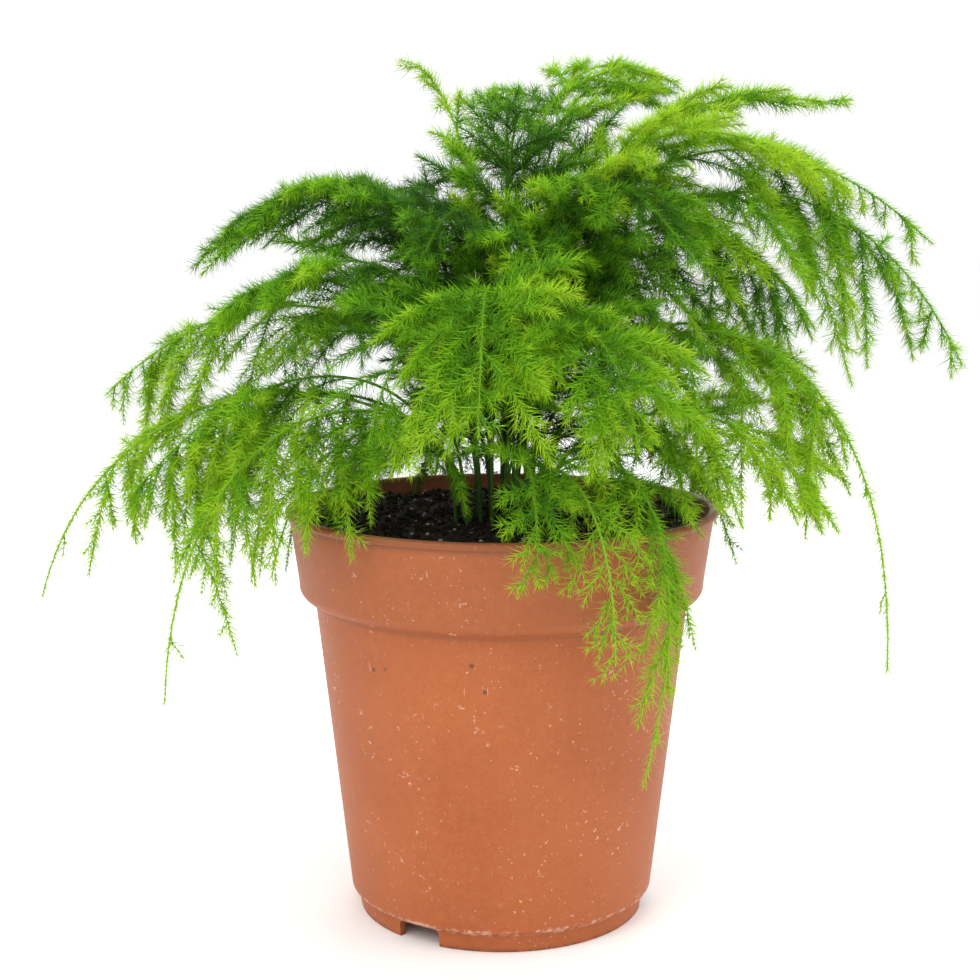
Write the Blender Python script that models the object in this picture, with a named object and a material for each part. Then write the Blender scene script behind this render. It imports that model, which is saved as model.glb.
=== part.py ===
"""A lace fern growing in a round grower's pot.

The pot is one moulded shell with a lip, a collar, a tapered body and a notched foot ring.
Soil fills it almost to the lip. Thirty-seven fronds stand in plain holes in the soil. Each frond
is one wiry stem that arches over, with side sprays in the plane of the frond, and every stem and
spray carries whorls of needles. The frond is grown face by face from its own stem, so it is one body.

The origin is on the ground at the middle of the plant's box, on the pot's axis. +Z is up, and the
front of the plant faces -Y. Lengths below are millimetres unless a comment says otherwise.
"""

import math
import random
from dataclasses import dataclass, field

import bpy
import numpy as np

MM = 0.001  # metres in a millimetre

# The pot: a 12 cm grower's pot, measured over its lip
POT_HEIGHT = 114.6
LIP_RADIUS = 60.0
LIP_HEIGHT = 2.2
LIP_ROLL = 0.3
COLLAR_TOP_RADIUS = 58.9
COLLAR_FOOT_RADIUS = 56.3
COLLAR_FOOT_HEIGHT = 93.6
SHOULDER_WIDTH = 1.3
SHOULDER_DROP = 3.3
BODY_TOP_RADIUS = 52.0
BODY_TOP_HEIGHT = 88.5
BODY_FOOT_RADIUS = 42.7
FOOT_HEIGHT = 6.3
FOOT_RADIUS = 40.2
FOOT_WIDTH = 2.0
FOOT_BEVEL_WIDTH = 1.2
FOOT_BEVEL_HEIGHT = 0.9
WALL = 1.4
FLOOR_HEIGHT = 6.0
POT_SIDES = 40
NOTCH_WIDTH = 13.0
NOTCH_HEIGHT = 5.0
NOTCH_CORNER = 1.5
NOTCH_HEADINGS = (236.0, 356.0, 116.0)
DRAIN_COUNT = 8
DRAIN_RADIUS = 3.6
DRAIN_CIRCLE = 30.0
DRAIN_SIDES = 10

# The soil: loose mix that fills the pot to just under the lip
SOIL_TOP = 110.5
SOIL_GAP = 0.35
SOIL_SIDES = 28
SOIL_RINGS = (17.0, 25.0, 33.0, 41.0, 49.0)
SOIL_DIP = 1.0
CRUMB_RISE = 1.3
CRUMB_SHIFT = 1.5
ROOT_HOLE_DEPTH = 17.5
ROOT_HOLE_RADIUS = 1.5
ROOT_HOLE_SIDES = 5
ROOT_SPACING = 3.9
ROOT_PUSHES = 200
CROWN_RADIUS = 3.0
CROWN_SPREAD = 10.0

# Stems: each stands clear of its hole's floor and rises straight before it bows over.
# The fronds' heights are measured from the crown's base, a little under the surface.
CROWN_BASE = 107.0
CROWN_RISE = 1.5
STEM_CLEARANCE = 0.5
STEM_RISE = 0.78
STEM_STEPS = 40
STEM_RADIUS = 0.85
STEM_TIP_RADIUS = 0.5
PLAIN_SPACING = 18.0  # from ring to ring up a bare stem, and closer on low fronds, which bend harder
EASY_BOW = 100.0
STEM_BULGE = 0.4  # how far a stem's long facets may stray from its line

# Sprays: they leave the stem by turns to its right and left, shorter towards the tip
SPRAY_RADIUS = 0.55
SPRAY_TIP_RADIUS = 0.42
SPRAY_STEPS = 8
LAST_SPRAY = 0.90
SPRAY_SPREAD = 56.0
SPRAY_CLOSING = 22.0
SPRAY_SHORTENING = 0.62
FROND_ROLL = 26.0
ROLL_EASING = 0.8  # share of the roll that the highest frond loses
LEAST_SAG = 0.14
LOW_FROND_SAG = 0.34
HIGHEST_TIP = 130.0
SPRAY_TILTS = (-4.0, -14.0, 5.0, -24.0, -34.0, -44.0)
SPRAY_ROOM = 2.2
LEAST_SPRAY_ROOM = 0.8
SPRAY_ROOT = 3.4
SPRAY_BASE = 1.0

# Needles: they stand in whorls, one ring leaning forward and one leaning out
WHORL_LENGTH = 1.1
SPRAY_WHORL_SPACING = 10.2
NEEDLE_LENGTH = 6.2
NEEDLE_SHORTENING = 0.3
NEEDLE_SIZES = (0.88, 1.08)
NEEDLE_WANDER = 6.0
FORWARD_LEAN = 33.0
OUTWARD_LEAN = 62.0
NEEDLE_RADIUS = 0.25
NEEDLE_TURNS = (0.0, 12.0, -12.0, 24.0, -24.0)
NEEDLE_LEANS = (0.0, -12.0, 12.0)
NEEDLE_SHARES = (1.0, 0.72, 0.5)
NEEDLE_ROOM = 0.2

UP = np.array([0.0, 0.0, 1.0])


@dataclass
class Frond:
    """One frond: where it heads, how far it reaches, how high it bows and where its tip ends."""

    name: str
    heading: float  # degrees in plan, 0 along +X
    reach: float  # from the pot's axis to the tip
    tip: float  # height of the tip over the crown's base
    bow: float  # height of the arch's upper control point over the crown's base
    shoulder: float  # where along the reach the arch bows over
    sway: float  # sideways swing of the arch
    bare: float  # share of the stem below its first spray
    side: float  # length of its longest side spray
    sprays: int  # number of side sprays


FRONDS = (
    Frond("frond_new_shoot", 190, 27, 128, 126, 0.50, 0, 0.50, 22, 3),
    Frond("frond_centre_tuft", 84, 24, 116, 130, 0.40, 0, 0.50, 27, 4),
    Frond("frond_top_right_far", 13, 97, 118, 128, 0.42, 8, 0.42, 39, 5),
    Frond("frond_top_right_near", 40, 64, 126, 141, 0.30, 0, 0.42, 34, 4),
    Frond("frond_right_lime", 343, 93, 94, 130, 0.45, 0, 0.40, 39, 5),
    Frond("frond_right_arch_high", 0, 117, 80, 131, 0.55, 6, 0.38, 41, 5),
    Frond("frond_right_arch_long", 354, 124, 48, 126, 0.70, 0, 0.36, 42, 5),
    Frond("frond_upper_left_dark", 176, 83, 76, 112, 0.45, 0, 0.36, 41, 5),
    Frond("frond_upper_left_top", 188, 74, 84, 114, 0.42, 0, 0.40, 34, 4),
    Frond("frond_upper_left_low", 204, 82, 58, 94, 0.50, 0, 0.36, 37, 4),
    Frond("frond_left_mid", 185, 107, 40, 82, 0.60, 0, 0.40, 41, 5),
    Frond("frond_left_bare_stem", 201, 104, 14, 63, 0.62, 0, 0.50, 36, 4),
    Frond("frond_left_long", 193, 125, -12, 62, 0.85, 8, 0.36, 37, 5),
    Frond("frond_left_hang", 216, 104, -32, 60, 0.95, 0, 0.34, 34, 5),
    Frond("frond_left_front", 222, 78, -2, 48, 0.85, 0, 0.34, 32, 4),
    Frond("frond_front_left", 245, 76, 34, 76, 0.75, 0, 0.36, 37, 4),
    Frond("frond_front_centre", 266, 84, 38, 92, 0.75, 0, 0.36, 41, 5),
    Frond("frond_front_right", 292, 84, 34, 80, 0.75, 0, 0.36, 41, 5),
    Frond("frond_front_hang", 277, 68, 4, 40, 1.00, 0, 0.42, 22, 3),
    Frond("frond_rim_right", 291, 76, -19, 36, 0.98, 0, 0.42, 21, 3),
    Frond("frond_rim_right_long", 303, 66, -55, 44, 1.30, 14, 0.42, 24, 4),
    Frond("frond_right_low", 332, 90, 12, 50, 0.85, 0, 0.34, 37, 4),
    Frond("frond_right_hang_long", 342, 107, -31, 90, 1.00, 0, 0.34, 35, 5),
    Frond("frond_right_hang", 357, 88, 8, 84, 0.90, 0, 0.34, 37, 4),
    Frond("frond_star_high", 302, 44, 92, 108, 0.50, 0, 0.50, 24, 3),
    Frond("frond_star_mid", 282, 50, 66, 101, 0.45, 0, 0.48, 27, 3),
    Frond("frond_star_left", 246, 48, 78, 104, 0.45, 0, 0.46, 27, 3),
    Frond("frond_star_right", 321, 62, 76, 118, 0.45, 0, 0.42, 32, 4),
    Frond("frond_star_top", 284, 30, 110, 126, 0.40, 0, 0.48, 27, 3),
    Frond("frond_back_right", 22, 100, 54, 110, 0.60, 0, 0.36, 38, 5),
    Frond("frond_back_right_low", 48, 94, -6, 58, 0.85, 0, 0.34, 37, 3),
    Frond("frond_back_high", 56, 80, 120, 137, 0.40, 0, 0.40, 37, 3),
    Frond("frond_back_mid", 88, 86, 30, 84, 0.70, 0, 0.36, 38, 5),
    Frond("frond_back_hang", 106, 82, -30, 52, 0.95, 0, 0.34, 32, 4),
    Frond("frond_back_left_high", 122, 88, 76, 117, 0.50, 0, 0.38, 39, 4),
    Frond("frond_back_left", 138, 96, 38, 82, 0.65, 0, 0.36, 39, 5),
    Frond("frond_back_left_low", 159, 98, -2, 54, 0.85, 0, 0.34, 37, 3),
)


def unit(vector):
    return vector / np.linalg.norm(vector)


def in_plan(heading):
    """The level direction of a heading in degrees."""
    turn = math.radians(heading)
    return np.array([math.cos(turn), math.sin(turn), 0.0])


def make_material(name, colour, roughness):
    material = bpy.data.materials.new(name)
    material.use_nodes = True
    shader = material.node_tree.nodes["Principled BSDF"]
    shader.inputs["Base Color"].default_value = (*colour, 1.0)
    shader.inputs["Roughness"].default_value = roughness
    shader.inputs["Metallic"].default_value = 0.0
    material.diffuse_color = (*colour, 1.0)
    return material


def make_object(name, points, faces, material):
    """A mesh object from points in millimetres."""
    mesh = bpy.data.meshes.new(name)
    mesh.from_pydata([tuple(point * MM) for point in points], [], faces)
    mesh.materials.append(material)
    mesh.update()
    thing = bpy.data.objects.new(name, mesh)
    bpy.context.scene.collection.objects.link(thing)
    return thing


def turned(profile, sides):
    """A closed body turned round the axis from a profile that starts and ends on it."""
    points = []
    faces = []
    rings = []
    for radius, height in profile:
        start = len(points)
        if radius == 0.0:
            points.append(np.array([0.0, 0.0, height]))
            rings.append([start] * sides)
            continue
        for side in range(sides):
            points.append(in_plan(360.0 * side / sides) * radius + UP * height)
        rings.append(list(range(start, start + sides)))
    for lower, upper in zip(rings, rings[1:]):
        for side in range(sides):
            after = (side + 1) % sides
            face = [lower[side], lower[after], upper[after], upper[side]]
            faces.append(list(dict.fromkeys(face)))
    return points, faces


def cutter(thing, name, points, faces, solver="EXACT"):
    """A hidden shape that a Boolean takes away from the thing."""
    shape = make_object(name, points, faces, thing.data.materials[0])
    shape.hide_render = True
    shape.display_type = "WIRE"
    cut = thing.modifiers.new(name, "BOOLEAN")
    cut.operation = "DIFFERENCE"
    cut.solver = solver
    cut.object = shape


def rod(centre, radius, bottom, top, sides):
    """Points and faces of an upright rod."""
    points, faces = turned([(0.0, bottom), (radius, bottom), (radius, top), (0.0, top)], sides)
    return [point + centre for point in points], faces


def joined(shapes):
    """Several separate shapes as one list of points and one of faces."""
    points = []
    faces = []
    for more_points, more_faces in shapes:
        start = len(points)
        points += list(more_points)
        faces += [[corner + start for corner in face] for face in more_faces]
    return points, faces


def make_pot():
    under_lip = POT_HEIGHT - LIP_HEIGHT
    floor_top = FLOOR_HEIGHT + WALL
    profile = [
        (0.0, FLOOR_HEIGHT),
        (FOOT_RADIUS - FOOT_WIDTH, FLOOR_HEIGHT),
        (FOOT_RADIUS - FOOT_WIDTH, 0.0),
        (FOOT_RADIUS, 0.0),
        (BODY_FOOT_RADIUS - FOOT_BEVEL_WIDTH, FOOT_HEIGHT - FOOT_BEVEL_HEIGHT),
        (BODY_FOOT_RADIUS, FOOT_HEIGHT),
        (BODY_TOP_RADIUS, BODY_TOP_HEIGHT),
        (COLLAR_FOOT_RADIUS - SHOULDER_WIDTH, COLLAR_FOOT_HEIGHT - SHOULDER_DROP),
        (COLLAR_FOOT_RADIUS, COLLAR_FOOT_HEIGHT),
        (COLLAR_TOP_RADIUS, under_lip),
        (LIP_RADIUS, under_lip + 2 * LIP_ROLL),
        (LIP_RADIUS - LIP_ROLL, POT_HEIGHT),
        (COLLAR_TOP_RADIUS - WALL + LIP_ROLL, POT_HEIGHT),
        (COLLAR_TOP_RADIUS - WALL, under_lip),
        (COLLAR_FOOT_RADIUS - WALL, COLLAR_FOOT_HEIGHT + 0.2),
        (BODY_TOP_RADIUS - WALL, BODY_TOP_HEIGHT - 0.2),
        (BODY_FOOT_RADIUS - WALL, floor_top),
        (0.0, floor_top),
    ]
    points, faces = turned(profile, POT_SIDES)
    pot = make_object("pot", points, faces, make_material("terracotta_plastic", (0.55, 0.16, 0.07), 0.5))
    drains = [
        rod(
            in_plan(360.0 * hole / DRAIN_COUNT) * DRAIN_CIRCLE,
            DRAIN_RADIUS,
            FLOOR_HEIGHT - 2.0,
            floor_top + 2.0,
            DRAIN_SIDES,
        )
        for hole in range(DRAIN_COUNT)
    ]
    cutter(pot, "drain_cutter", *joined(drains))
    cutter(pot, "notch_cutter", *joined(notch(heading) for heading in NOTCH_HEADINGS), solver="MANIFOLD")
    pot.data.shade_smooth()
    pot.data.set_sharp_from_angle(angle=math.radians(28))
    return pot


def notch(heading):
    """A block through the foot ring, with its upper corners cut off."""
    out = in_plan(heading)
    across = in_plan(heading + 90.0)
    half = NOTCH_WIDTH / 2
    outline = [
        (-half, -1.0),
        (half, -1.0),
        (half, NOTCH_HEIGHT - NOTCH_CORNER),
        (half - NOTCH_CORNER, NOTCH_HEIGHT),
        (NOTCH_CORNER - half, NOTCH_HEIGHT),
        (-half, NOTCH_HEIGHT - NOTCH_CORNER),
    ]
    near = [out * (FOOT_RADIUS - 6.0) + across * side + UP * height for side, height in outline]
    far = [out * (FOOT_RADIUS + 4.0) + across * side + UP * height for side, height in outline]
    count = len(outline)
    faces = [list(reversed(range(count))), list(range(count, 2 * count))]
    for corner in range(count):
        after = (corner + 1) % count
        faces.append([corner, after, count + after, count + corner])
    return near + far, faces


def make_soil(roots):
    """Soil with a crumbly top, and a plain hole for each stem."""
    draw = random.Random(7)
    snug = math.cos(math.pi / POT_SIDES)
    floor = FLOOR_HEIGHT + WALL + SOIL_GAP
    slope = (BODY_TOP_RADIUS - BODY_FOOT_RADIUS) / (BODY_TOP_HEIGHT - FOOT_HEIGHT)
    inside = (BODY_FOOT_RADIUS - WALL) * snug - SOIL_GAP
    collar = (COLLAR_FOOT_RADIUS - WALL) * snug - SOIL_GAP
    collar_slope = (COLLAR_TOP_RADIUS - COLLAR_FOOT_RADIUS) / (POT_HEIGHT - LIP_HEIGHT - COLLAR_FOOT_HEIGHT)
    edge_height = SOIL_TOP - SOIL_DIP
    body_top = BODY_TOP_HEIGHT - 1.0
    profile = [
        (0.0, floor),
        (inside, floor),
        (inside + slope * (body_top - floor) - 0.2, body_top),
        (collar - 0.2, COLLAR_FOOT_HEIGHT + 1.2),
        (collar + collar_slope * (edge_height - COLLAR_FOOT_HEIGHT) - 0.3, edge_height),
    ]
    profile += [(radius, SOIL_TOP) for radius in reversed(SOIL_RINGS)]
    profile.append((0.0, SOIL_TOP))
    points, faces = turned(profile, SOIL_SIDES)
    crown = SOIL_RINGS[0] + 1.0
    for index, point in enumerate(points):
        away = math.hypot(point[0], point[1])
        if point[2] == SOIL_TOP and away > crown:
            around = in_plan(draw.uniform(0.0, 360.0)) * draw.uniform(0.0, CRUMB_SHIFT)
            points[index] = point + around + UP * draw.uniform(-CRUMB_RISE, CRUMB_RISE)
    faces = split_across(faces)
    soil = make_object("soil", points, faces, make_material("potting_soil", (0.03, 0.02, 0.014), 0.95))
    holes = [
        rod(root, ROOT_HOLE_RADIUS, SOIL_TOP - ROOT_HOLE_DEPTH, SOIL_TOP + 4.0, ROOT_HOLE_SIDES)
        for root in roots.values()
    ]
    cutter(soil, "root_cutter", *joined(holes))
    return soil


def split_across(faces):
    """Each four-cornered face as two triangles, so a raised corner leaves no bent face."""
    split = []
    for face in faces:
        if len(face) == 4:
            split += [[face[0], face[1], face[2]], [face[0], face[2], face[3]]]
        else:
            split.append(face)
    return split


def crowd_roots():
    """Where each stem leaves the soil: tall fronds inside, low ones outside, pushed apart."""
    roots = {}
    tallest = max(frond.bow for frond in FRONDS)
    for frond in FRONDS:
        outward = CROWN_RADIUS + CROWN_SPREAD * (1.0 - frond.bow / tallest)
        roots[frond.name] = in_plan(frond.heading) * outward
    names = list(roots)
    for _ in range(ROOT_PUSHES):
        for first, name in enumerate(names):
            for other in names[first + 1:]:
                apart = roots[other] - roots[name]
                gap = np.linalg.norm(apart)
                if gap < ROOT_SPACING:
                    push = apart / gap * (ROOT_SPACING - gap) / 2
                    roots[other] = roots[other] + push
                    roots[name] = roots[name] - push
    return roots


class Route:
    """The line of a stem or spray, read by its length from the root."""

    def __init__(self, points, side):
        self.points = np.array(points)
        steps = np.linalg.norm(np.diff(self.points, axis=0), axis=1)
        self.marks = np.concatenate([[0.0], np.cumsum(steps)])
        self.length = self.marks[-1]
        self.side = side

    def at(self, mark):
        return np.array([np.interp(mark, self.marks, self.points[:, axis]) for axis in range(3)])

    def along(self, mark):
        before = max(mark - 1.5, 0.0)
        after = min(mark + 1.5, self.length)
        return unit(self.at(after) - self.at(before))

    def across(self, mark):
        along = self.along(mark)
        return unit(self.side - along * float(self.side @ along))


def stem_route(frond, root):
    """Straight up through the soil, then one smooth arch to the tip."""
    out = in_plan(frond.heading)
    across = in_plan(frond.heading + 90.0)
    foot = root + UP * (SOIL_TOP - ROOT_HOLE_DEPTH + STEM_CLEARANCE)
    start = root + UP * (CROWN_BASE + CROWN_RISE)
    rise = start + UP * (STEM_RISE * frond.bow)
    over = out * (frond.shoulder * frond.reach) + across * frond.sway + UP * (CROWN_BASE + frond.bow)
    tip = out * frond.reach + UP * (CROWN_BASE + frond.tip)
    points = [foot]
    for step in range(STEM_STEPS + 1):
        t = step / STEM_STEPS
        points.append(
            (1 - t) ** 3 * start + 3 * (1 - t) ** 2 * t * rise + 3 * (1 - t) * t**2 * over + t**3 * tip
        )
    return Route(points, across)


def spray_mark(frond, stem, index):
    """How far along the stem a side spray leaves it, and its share of the way to the last one."""
    share = index / max(frond.sprays - 1, 1)
    return (frond.bare + (LAST_SPRAY - frond.bare) * share) * stem.length, share


def rolled(frond, stem, mark):
    """The frond's left and upper directions at a mark, turned about the stem: high fronds lie flattest."""
    easing = 1.0 - ROLL_EASING * max(frond.tip, 0.0) / HIGHEST_TIP
    roll = math.radians(FROND_ROLL * easing * math.sin(2.4 * FRONDS.index(frond)))
    left = stem.across(mark)
    above = np.cross(stem.along(mark), left)
    return left * math.cos(roll) + above * math.sin(roll), above * math.cos(roll) - left * math.sin(roll)


def spray_route(frond, stem, index, tilt):
    """A side spray: it leaves the stem in the frond's plane, turned up by the tilt, and sags."""
    mark, share = spray_mark(frond, stem, index)
    left, above = rolled(frond, stem, mark)
    across = left * hand_of(index)
    spread = math.radians(SPRAY_SPREAD - SPRAY_CLOSING * share)
    lift = math.radians(tilt)
    level = stem.along(mark) * math.cos(spread) + across * math.sin(spread)
    heading = level * math.cos(lift) + above * math.sin(lift)
    length = frond.side * (1.0 - SPRAY_SHORTENING * share**1.3)
    sag = LEAST_SAG + LOW_FROND_SAG * (1.0 - frond.tip / HIGHEST_TIP)
    start = stem.at(mark)
    steps = [step / SPRAY_STEPS for step in range(SPRAY_STEPS + 1)]
    points = [start + heading * length * t - UP * sag * length * t**2 for t in steps]
    return Route(points, across)


def hand_of(index):
    """Sprays leave the stem by turns: -1 is its right side and 1 its left."""
    return 1.0 if index % 2 else -1.0


def room_over_pot(place):
    """How far a place is from the pot and the soil, both taken a little larger than they are."""
    away = math.hypot(place[0], place[1])
    wall = COLLAR_TOP_RADIUS - WALL - 1.0
    if away > wall:
        return max(away - LIP_RADIUS, place[2] - POT_HEIGHT)
    over_soil = place[2] - SOIL_TOP - CRUMB_RISE
    if place[2] > POT_HEIGHT:
        return over_soil
    return min(over_soil, wall - away)


class Room:
    """What is already grown, as round-ended rods, to keep new growth clear of it."""

    def __init__(self):
        self.starts = np.zeros((0, 3))
        self.ends = np.zeros((0, 3))
        self.radii = np.zeros(0)
        self.owners = np.zeros(0, int)
        self.waiting = []

    def add(self, start, end, radius, owner):
        self.waiting.append((start, end, radius, owner))

    def settle(self):
        if self.waiting:
            starts, ends, radii, owners = zip(*self.waiting)
            self.starts = np.concatenate([self.starts, np.array(starts)])
            self.ends = np.concatenate([self.ends, np.array(ends)])
            self.radii = np.concatenate([self.radii, np.array(radii)])
            self.owners = np.concatenate([self.owners, np.array(owners)])
            self.waiting = []

    def gap(self, start, end, radius, owners):
        """The least gap from a rod to all rods of other owners."""
        self.settle()
        middle = (start + end) / 2
        half = np.linalg.norm(end - start) / 2
        middles = (self.starts + self.ends) / 2
        halves = np.linalg.norm(self.ends - self.starts, axis=1) / 2
        near = np.linalg.norm(middles - middle, axis=1) < halves + half + 4.0
        near &= ~np.isin(self.owners, owners)
        if not near.any():
            return 4.0
        low = self.starts[near]
        span = self.ends[near] - low
        reach = end - start
        back = start - low
        a = reach @ reach
        b = span @ reach
        c = back @ reach
        e = np.maximum((span * span).sum(1), 1e-9)
        f = (span * back).sum(1)
        s = np.clip((b * f - c * e) / np.maximum(a * e - b * b, 1e-9), 0.0, 1.0)
        t = np.clip((b * s + f) / e, 0.0, 1.0)
        s = np.clip((b * t - c) / a, 0.0, 1.0)
        apart = (start + s[:, None] * reach) - (low + t[:, None] * span)
        return float((np.linalg.norm(apart, axis=1) - self.radii[near] - radius).min())


@dataclass
class Station:
    """A place along a tube: a plain ring, or a whorl of needles with perhaps a spray on one side."""

    mark: float
    whorl: bool = False
    taken: int = -1


@dataclass
class Bud:
    """A face that may grow into a needle."""

    face: tuple
    along: np.ndarray
    outward: np.ndarray
    lean: float
    length: float
    owner: int


@dataclass
class Growth:
    """One frond's body: three-sided tubes and needles, each grown from a face of the last."""

    points: list = field(default_factory=list)
    faces: list = field(default_factory=list)
    buds: list = field(default_factory=list)
    sockets: list = field(default_factory=list)

    def ring(self, route, mark, radius, lean):
        """Three corners round the route, the first one towards the lean."""
        centre = route.at(mark)
        along = route.along(mark)
        lean = unit(lean - along * float(lean @ along))
        beside = np.cross(along, lean)
        start = len(self.points)
        for corner in range(3):
            turn = math.radians(120.0 * corner)
            self.points.append(centre + (lean * math.cos(turn) + beside * math.sin(turn)) * radius)
        return [start, start + 1, start + 2], lean

    def skin(self, lower, upper):
        for side in range(3):
            after = (side + 1) % 3
            self.faces.append((lower[side], lower[after], upper[after]))
            self.faces.append((lower[side], upper[after], upper[side]))

    def whorl(self, lower, upper, along, lean, length, owner, taken):
        """A short stretch whose faces become needles, and on a taken side the root of a spray."""
        beside = np.cross(along, lean)
        for side in range(3):
            after = (side + 1) % 3
            first = (lower[side], lower[after], upper[after])
            second = (lower[side], upper[after], upper[side])
            if side == taken:
                self.sockets.append(first)
                self.faces.append(second)
                continue
            for face, turn, tilt in ((first, 90.0, OUTWARD_LEAN), (second, 30.0, FORWARD_LEAN)):
                angle = math.radians(120.0 * side + turn)
                outward = lean * math.cos(angle) + beside * math.sin(angle)
                self.buds.append(Bud(face, along, outward, tilt, length, owner))

    def tube(self, route, stations, radii, owner, lean=None, root=None):
        """A tube along the route, from a root face or its own closed end, to a point at the tip."""
        if root is not None:
            lean = self.untwisted(root, route.along(stations[0].mark))
        last = root
        for station in stations:
            share = station.mark / route.length
            radius = radii[0] + (radii[1] - radii[0]) * share
            half = WHORL_LENGTH / 2 if station.whorl else 0.0
            lower, lean = self.ring(route, station.mark - half, radius, lean)
            if last is None:
                self.faces.append((lower[2], lower[1], lower[0]))
            else:
                self.skin(last, lower)
            last = lower
            if station.whorl:
                last, lean = self.ring(route, station.mark + half, radius, lean)
                length = NEEDLE_LENGTH * (1.0 - NEEDLE_SHORTENING * share**3)
                self.whorl(lower, last, route.along(station.mark), lean, length, owner, station.taken)
        self.points.append(route.at(route.length))
        tip = len(self.points) - 1
        for side in range(3):
            self.faces.append((last[side], last[(side + 1) % 3], tip))

    def untwisted(self, root, along):
        """The lean whose ring lines up best with the root's three corners."""
        middle = sum(self.points[corner] for corner in root) / 3
        lean = np.zeros(3)
        for corner in range(3):
            offset = self.points[root[corner]] - middle
            turn = math.radians(120.0 * corner)
            lean += offset * math.cos(turn) - np.cross(along, offset) * math.sin(turn)
        return lean

    def needle(self, bud, draw, room):
        """Grow a bud into a needle where there is room for one, or else leave its face flat."""
        root = sum(self.points[corner] for corner in bud.face) / 3
        sideways = np.cross(bud.along, bud.outward)
        wander = draw.uniform(-NEEDLE_WANDER, NEEDLE_WANDER)
        sway = draw.uniform(-NEEDLE_WANDER, NEEDLE_WANDER)
        size = draw.uniform(*NEEDLE_SIZES)
        for share in NEEDLE_SHARES:
            for lean in NEEDLE_LEANS:
                for turn in NEEDLE_TURNS:
                    tilt = math.radians(bud.lean + lean + sway)
                    swing = math.radians(turn + wander)
                    outward = bud.outward * math.cos(swing) + sideways * math.sin(swing)
                    heading = bud.along * math.cos(tilt) + outward * math.sin(tilt)
                    tip = root + heading * bud.length * size * share
                    if is_free(room, root + heading * 1.2, tip, NEEDLE_RADIUS, NEEDLE_ROOM, [bud.owner]):
                        room.add(root + heading * 0.6, tip, NEEDLE_RADIUS, bud.owner)
                        self.points.append(tip)
                        top = len(self.points) - 1
                        for corner in range(3):
                            self.faces.append((bud.face[corner], bud.face[(corner + 1) % 3], top))
                        return
        self.faces.append(bud.face)


def is_free(room, start, end, radius, least, owners):
    """Whether a rod keeps its distance from the pot, the soil and all that has grown."""
    for share in (0.0, 0.5, 1.0):
        if room_over_pot(start + (end - start) * share) < radius + least:
            return False
    return room.gap(start, end, radius, owners) > least


def reserve(room, route, first, radius, owner):
    """Keep the line of a stem or spray, from a mark to its tip, free of other growth."""
    count = max(int((route.length - first) / 4.0), 2)
    marks = np.linspace(first, route.length, count + 1)
    for low, high in zip(marks, marks[1:]):
        room.add(route.at(low), route.at(high), radius, owner)


def route_gap(room, route, stem_owner):
    """The least gap between a spray's line and everything else, and its own stem past the root."""
    marks = np.linspace(SPRAY_ROOT, route.length, 6)
    gaps = []
    for low, high in zip(marks, marks[1:]):
        apart_from = [stem_owner] if low == SPRAY_ROOT else []
        gap = room.gap(route.at(low), route.at(high), SPRAY_RADIUS, apart_from)
        gaps.append(min(gap, room_over_pot(route.at(high))))
    return min(gaps)


def choose_spray(frond, stem, index, room, stem_owner):
    """The spray's route at the first tilt that leaves it room, or the roomiest, or none."""
    best = None
    best_gap = LEAST_SPRAY_ROOM
    for tilt in SPRAY_TILTS:
        route = spray_route(frond, stem, index, tilt)
        gap = route_gap(room, route, stem_owner)
        if gap > SPRAY_ROOM:
            return route
        if gap > best_gap:
            best = route
            best_gap = gap
    return best


def even_marks(low, high, spacing):
    """Marks from low to high, both kept, at about the given spacing."""
    count = max(int((high - low) / spacing), 1)
    return list(np.linspace(low, high, count + 1))


def stem_stations(frond, stem, sprays):
    """Plain rings up the bare stem, then a whorl wherever a spray leaves and one near the tip."""
    marks = {}
    for index, route in sprays.items():
        taken = -1
        if route is not None:
            taken = 0 if hand_of(index) > 0 else 2
        mark = spray_mark(frond, stem, index)[0]
        marks[mark] = Station(mark, True, taken)
    beyond = (stem.length - LAST_SPRAY * stem.length) / 2
    marks[stem.length - beyond] = Station(stem.length - beyond, True)
    wanted = sorted(marks)
    surface = ROOT_HOLE_DEPTH + 1.0
    stations = [Station(0.0)]
    spacing = PLAIN_SPACING * min(frond.bow / EASY_BOW, 1.0)
    stations += [Station(mark) for mark in even_marks(surface, wanted[0] - 5.0, spacing)]
    for index, mark in enumerate(wanted):
        stations.append(marks[mark])
        if index + 1 < len(wanted) and wanted[index + 1] - mark > spacing:
            stations.append(Station((mark + wanted[index + 1]) / 2))
    return stations


def spray_stations(route):
    """Whorls from just past the spray's root to a needle's length short of its tip."""
    low = SPRAY_ROOT + 1.8
    high = max(route.length - 3.5, low)
    if high - low < SPRAY_WHORL_SPACING / 2:
        return [Station(low, True)]
    return [Station(mark, True) for mark in even_marks(low, high, SPRAY_WHORL_SPACING)]


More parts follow.
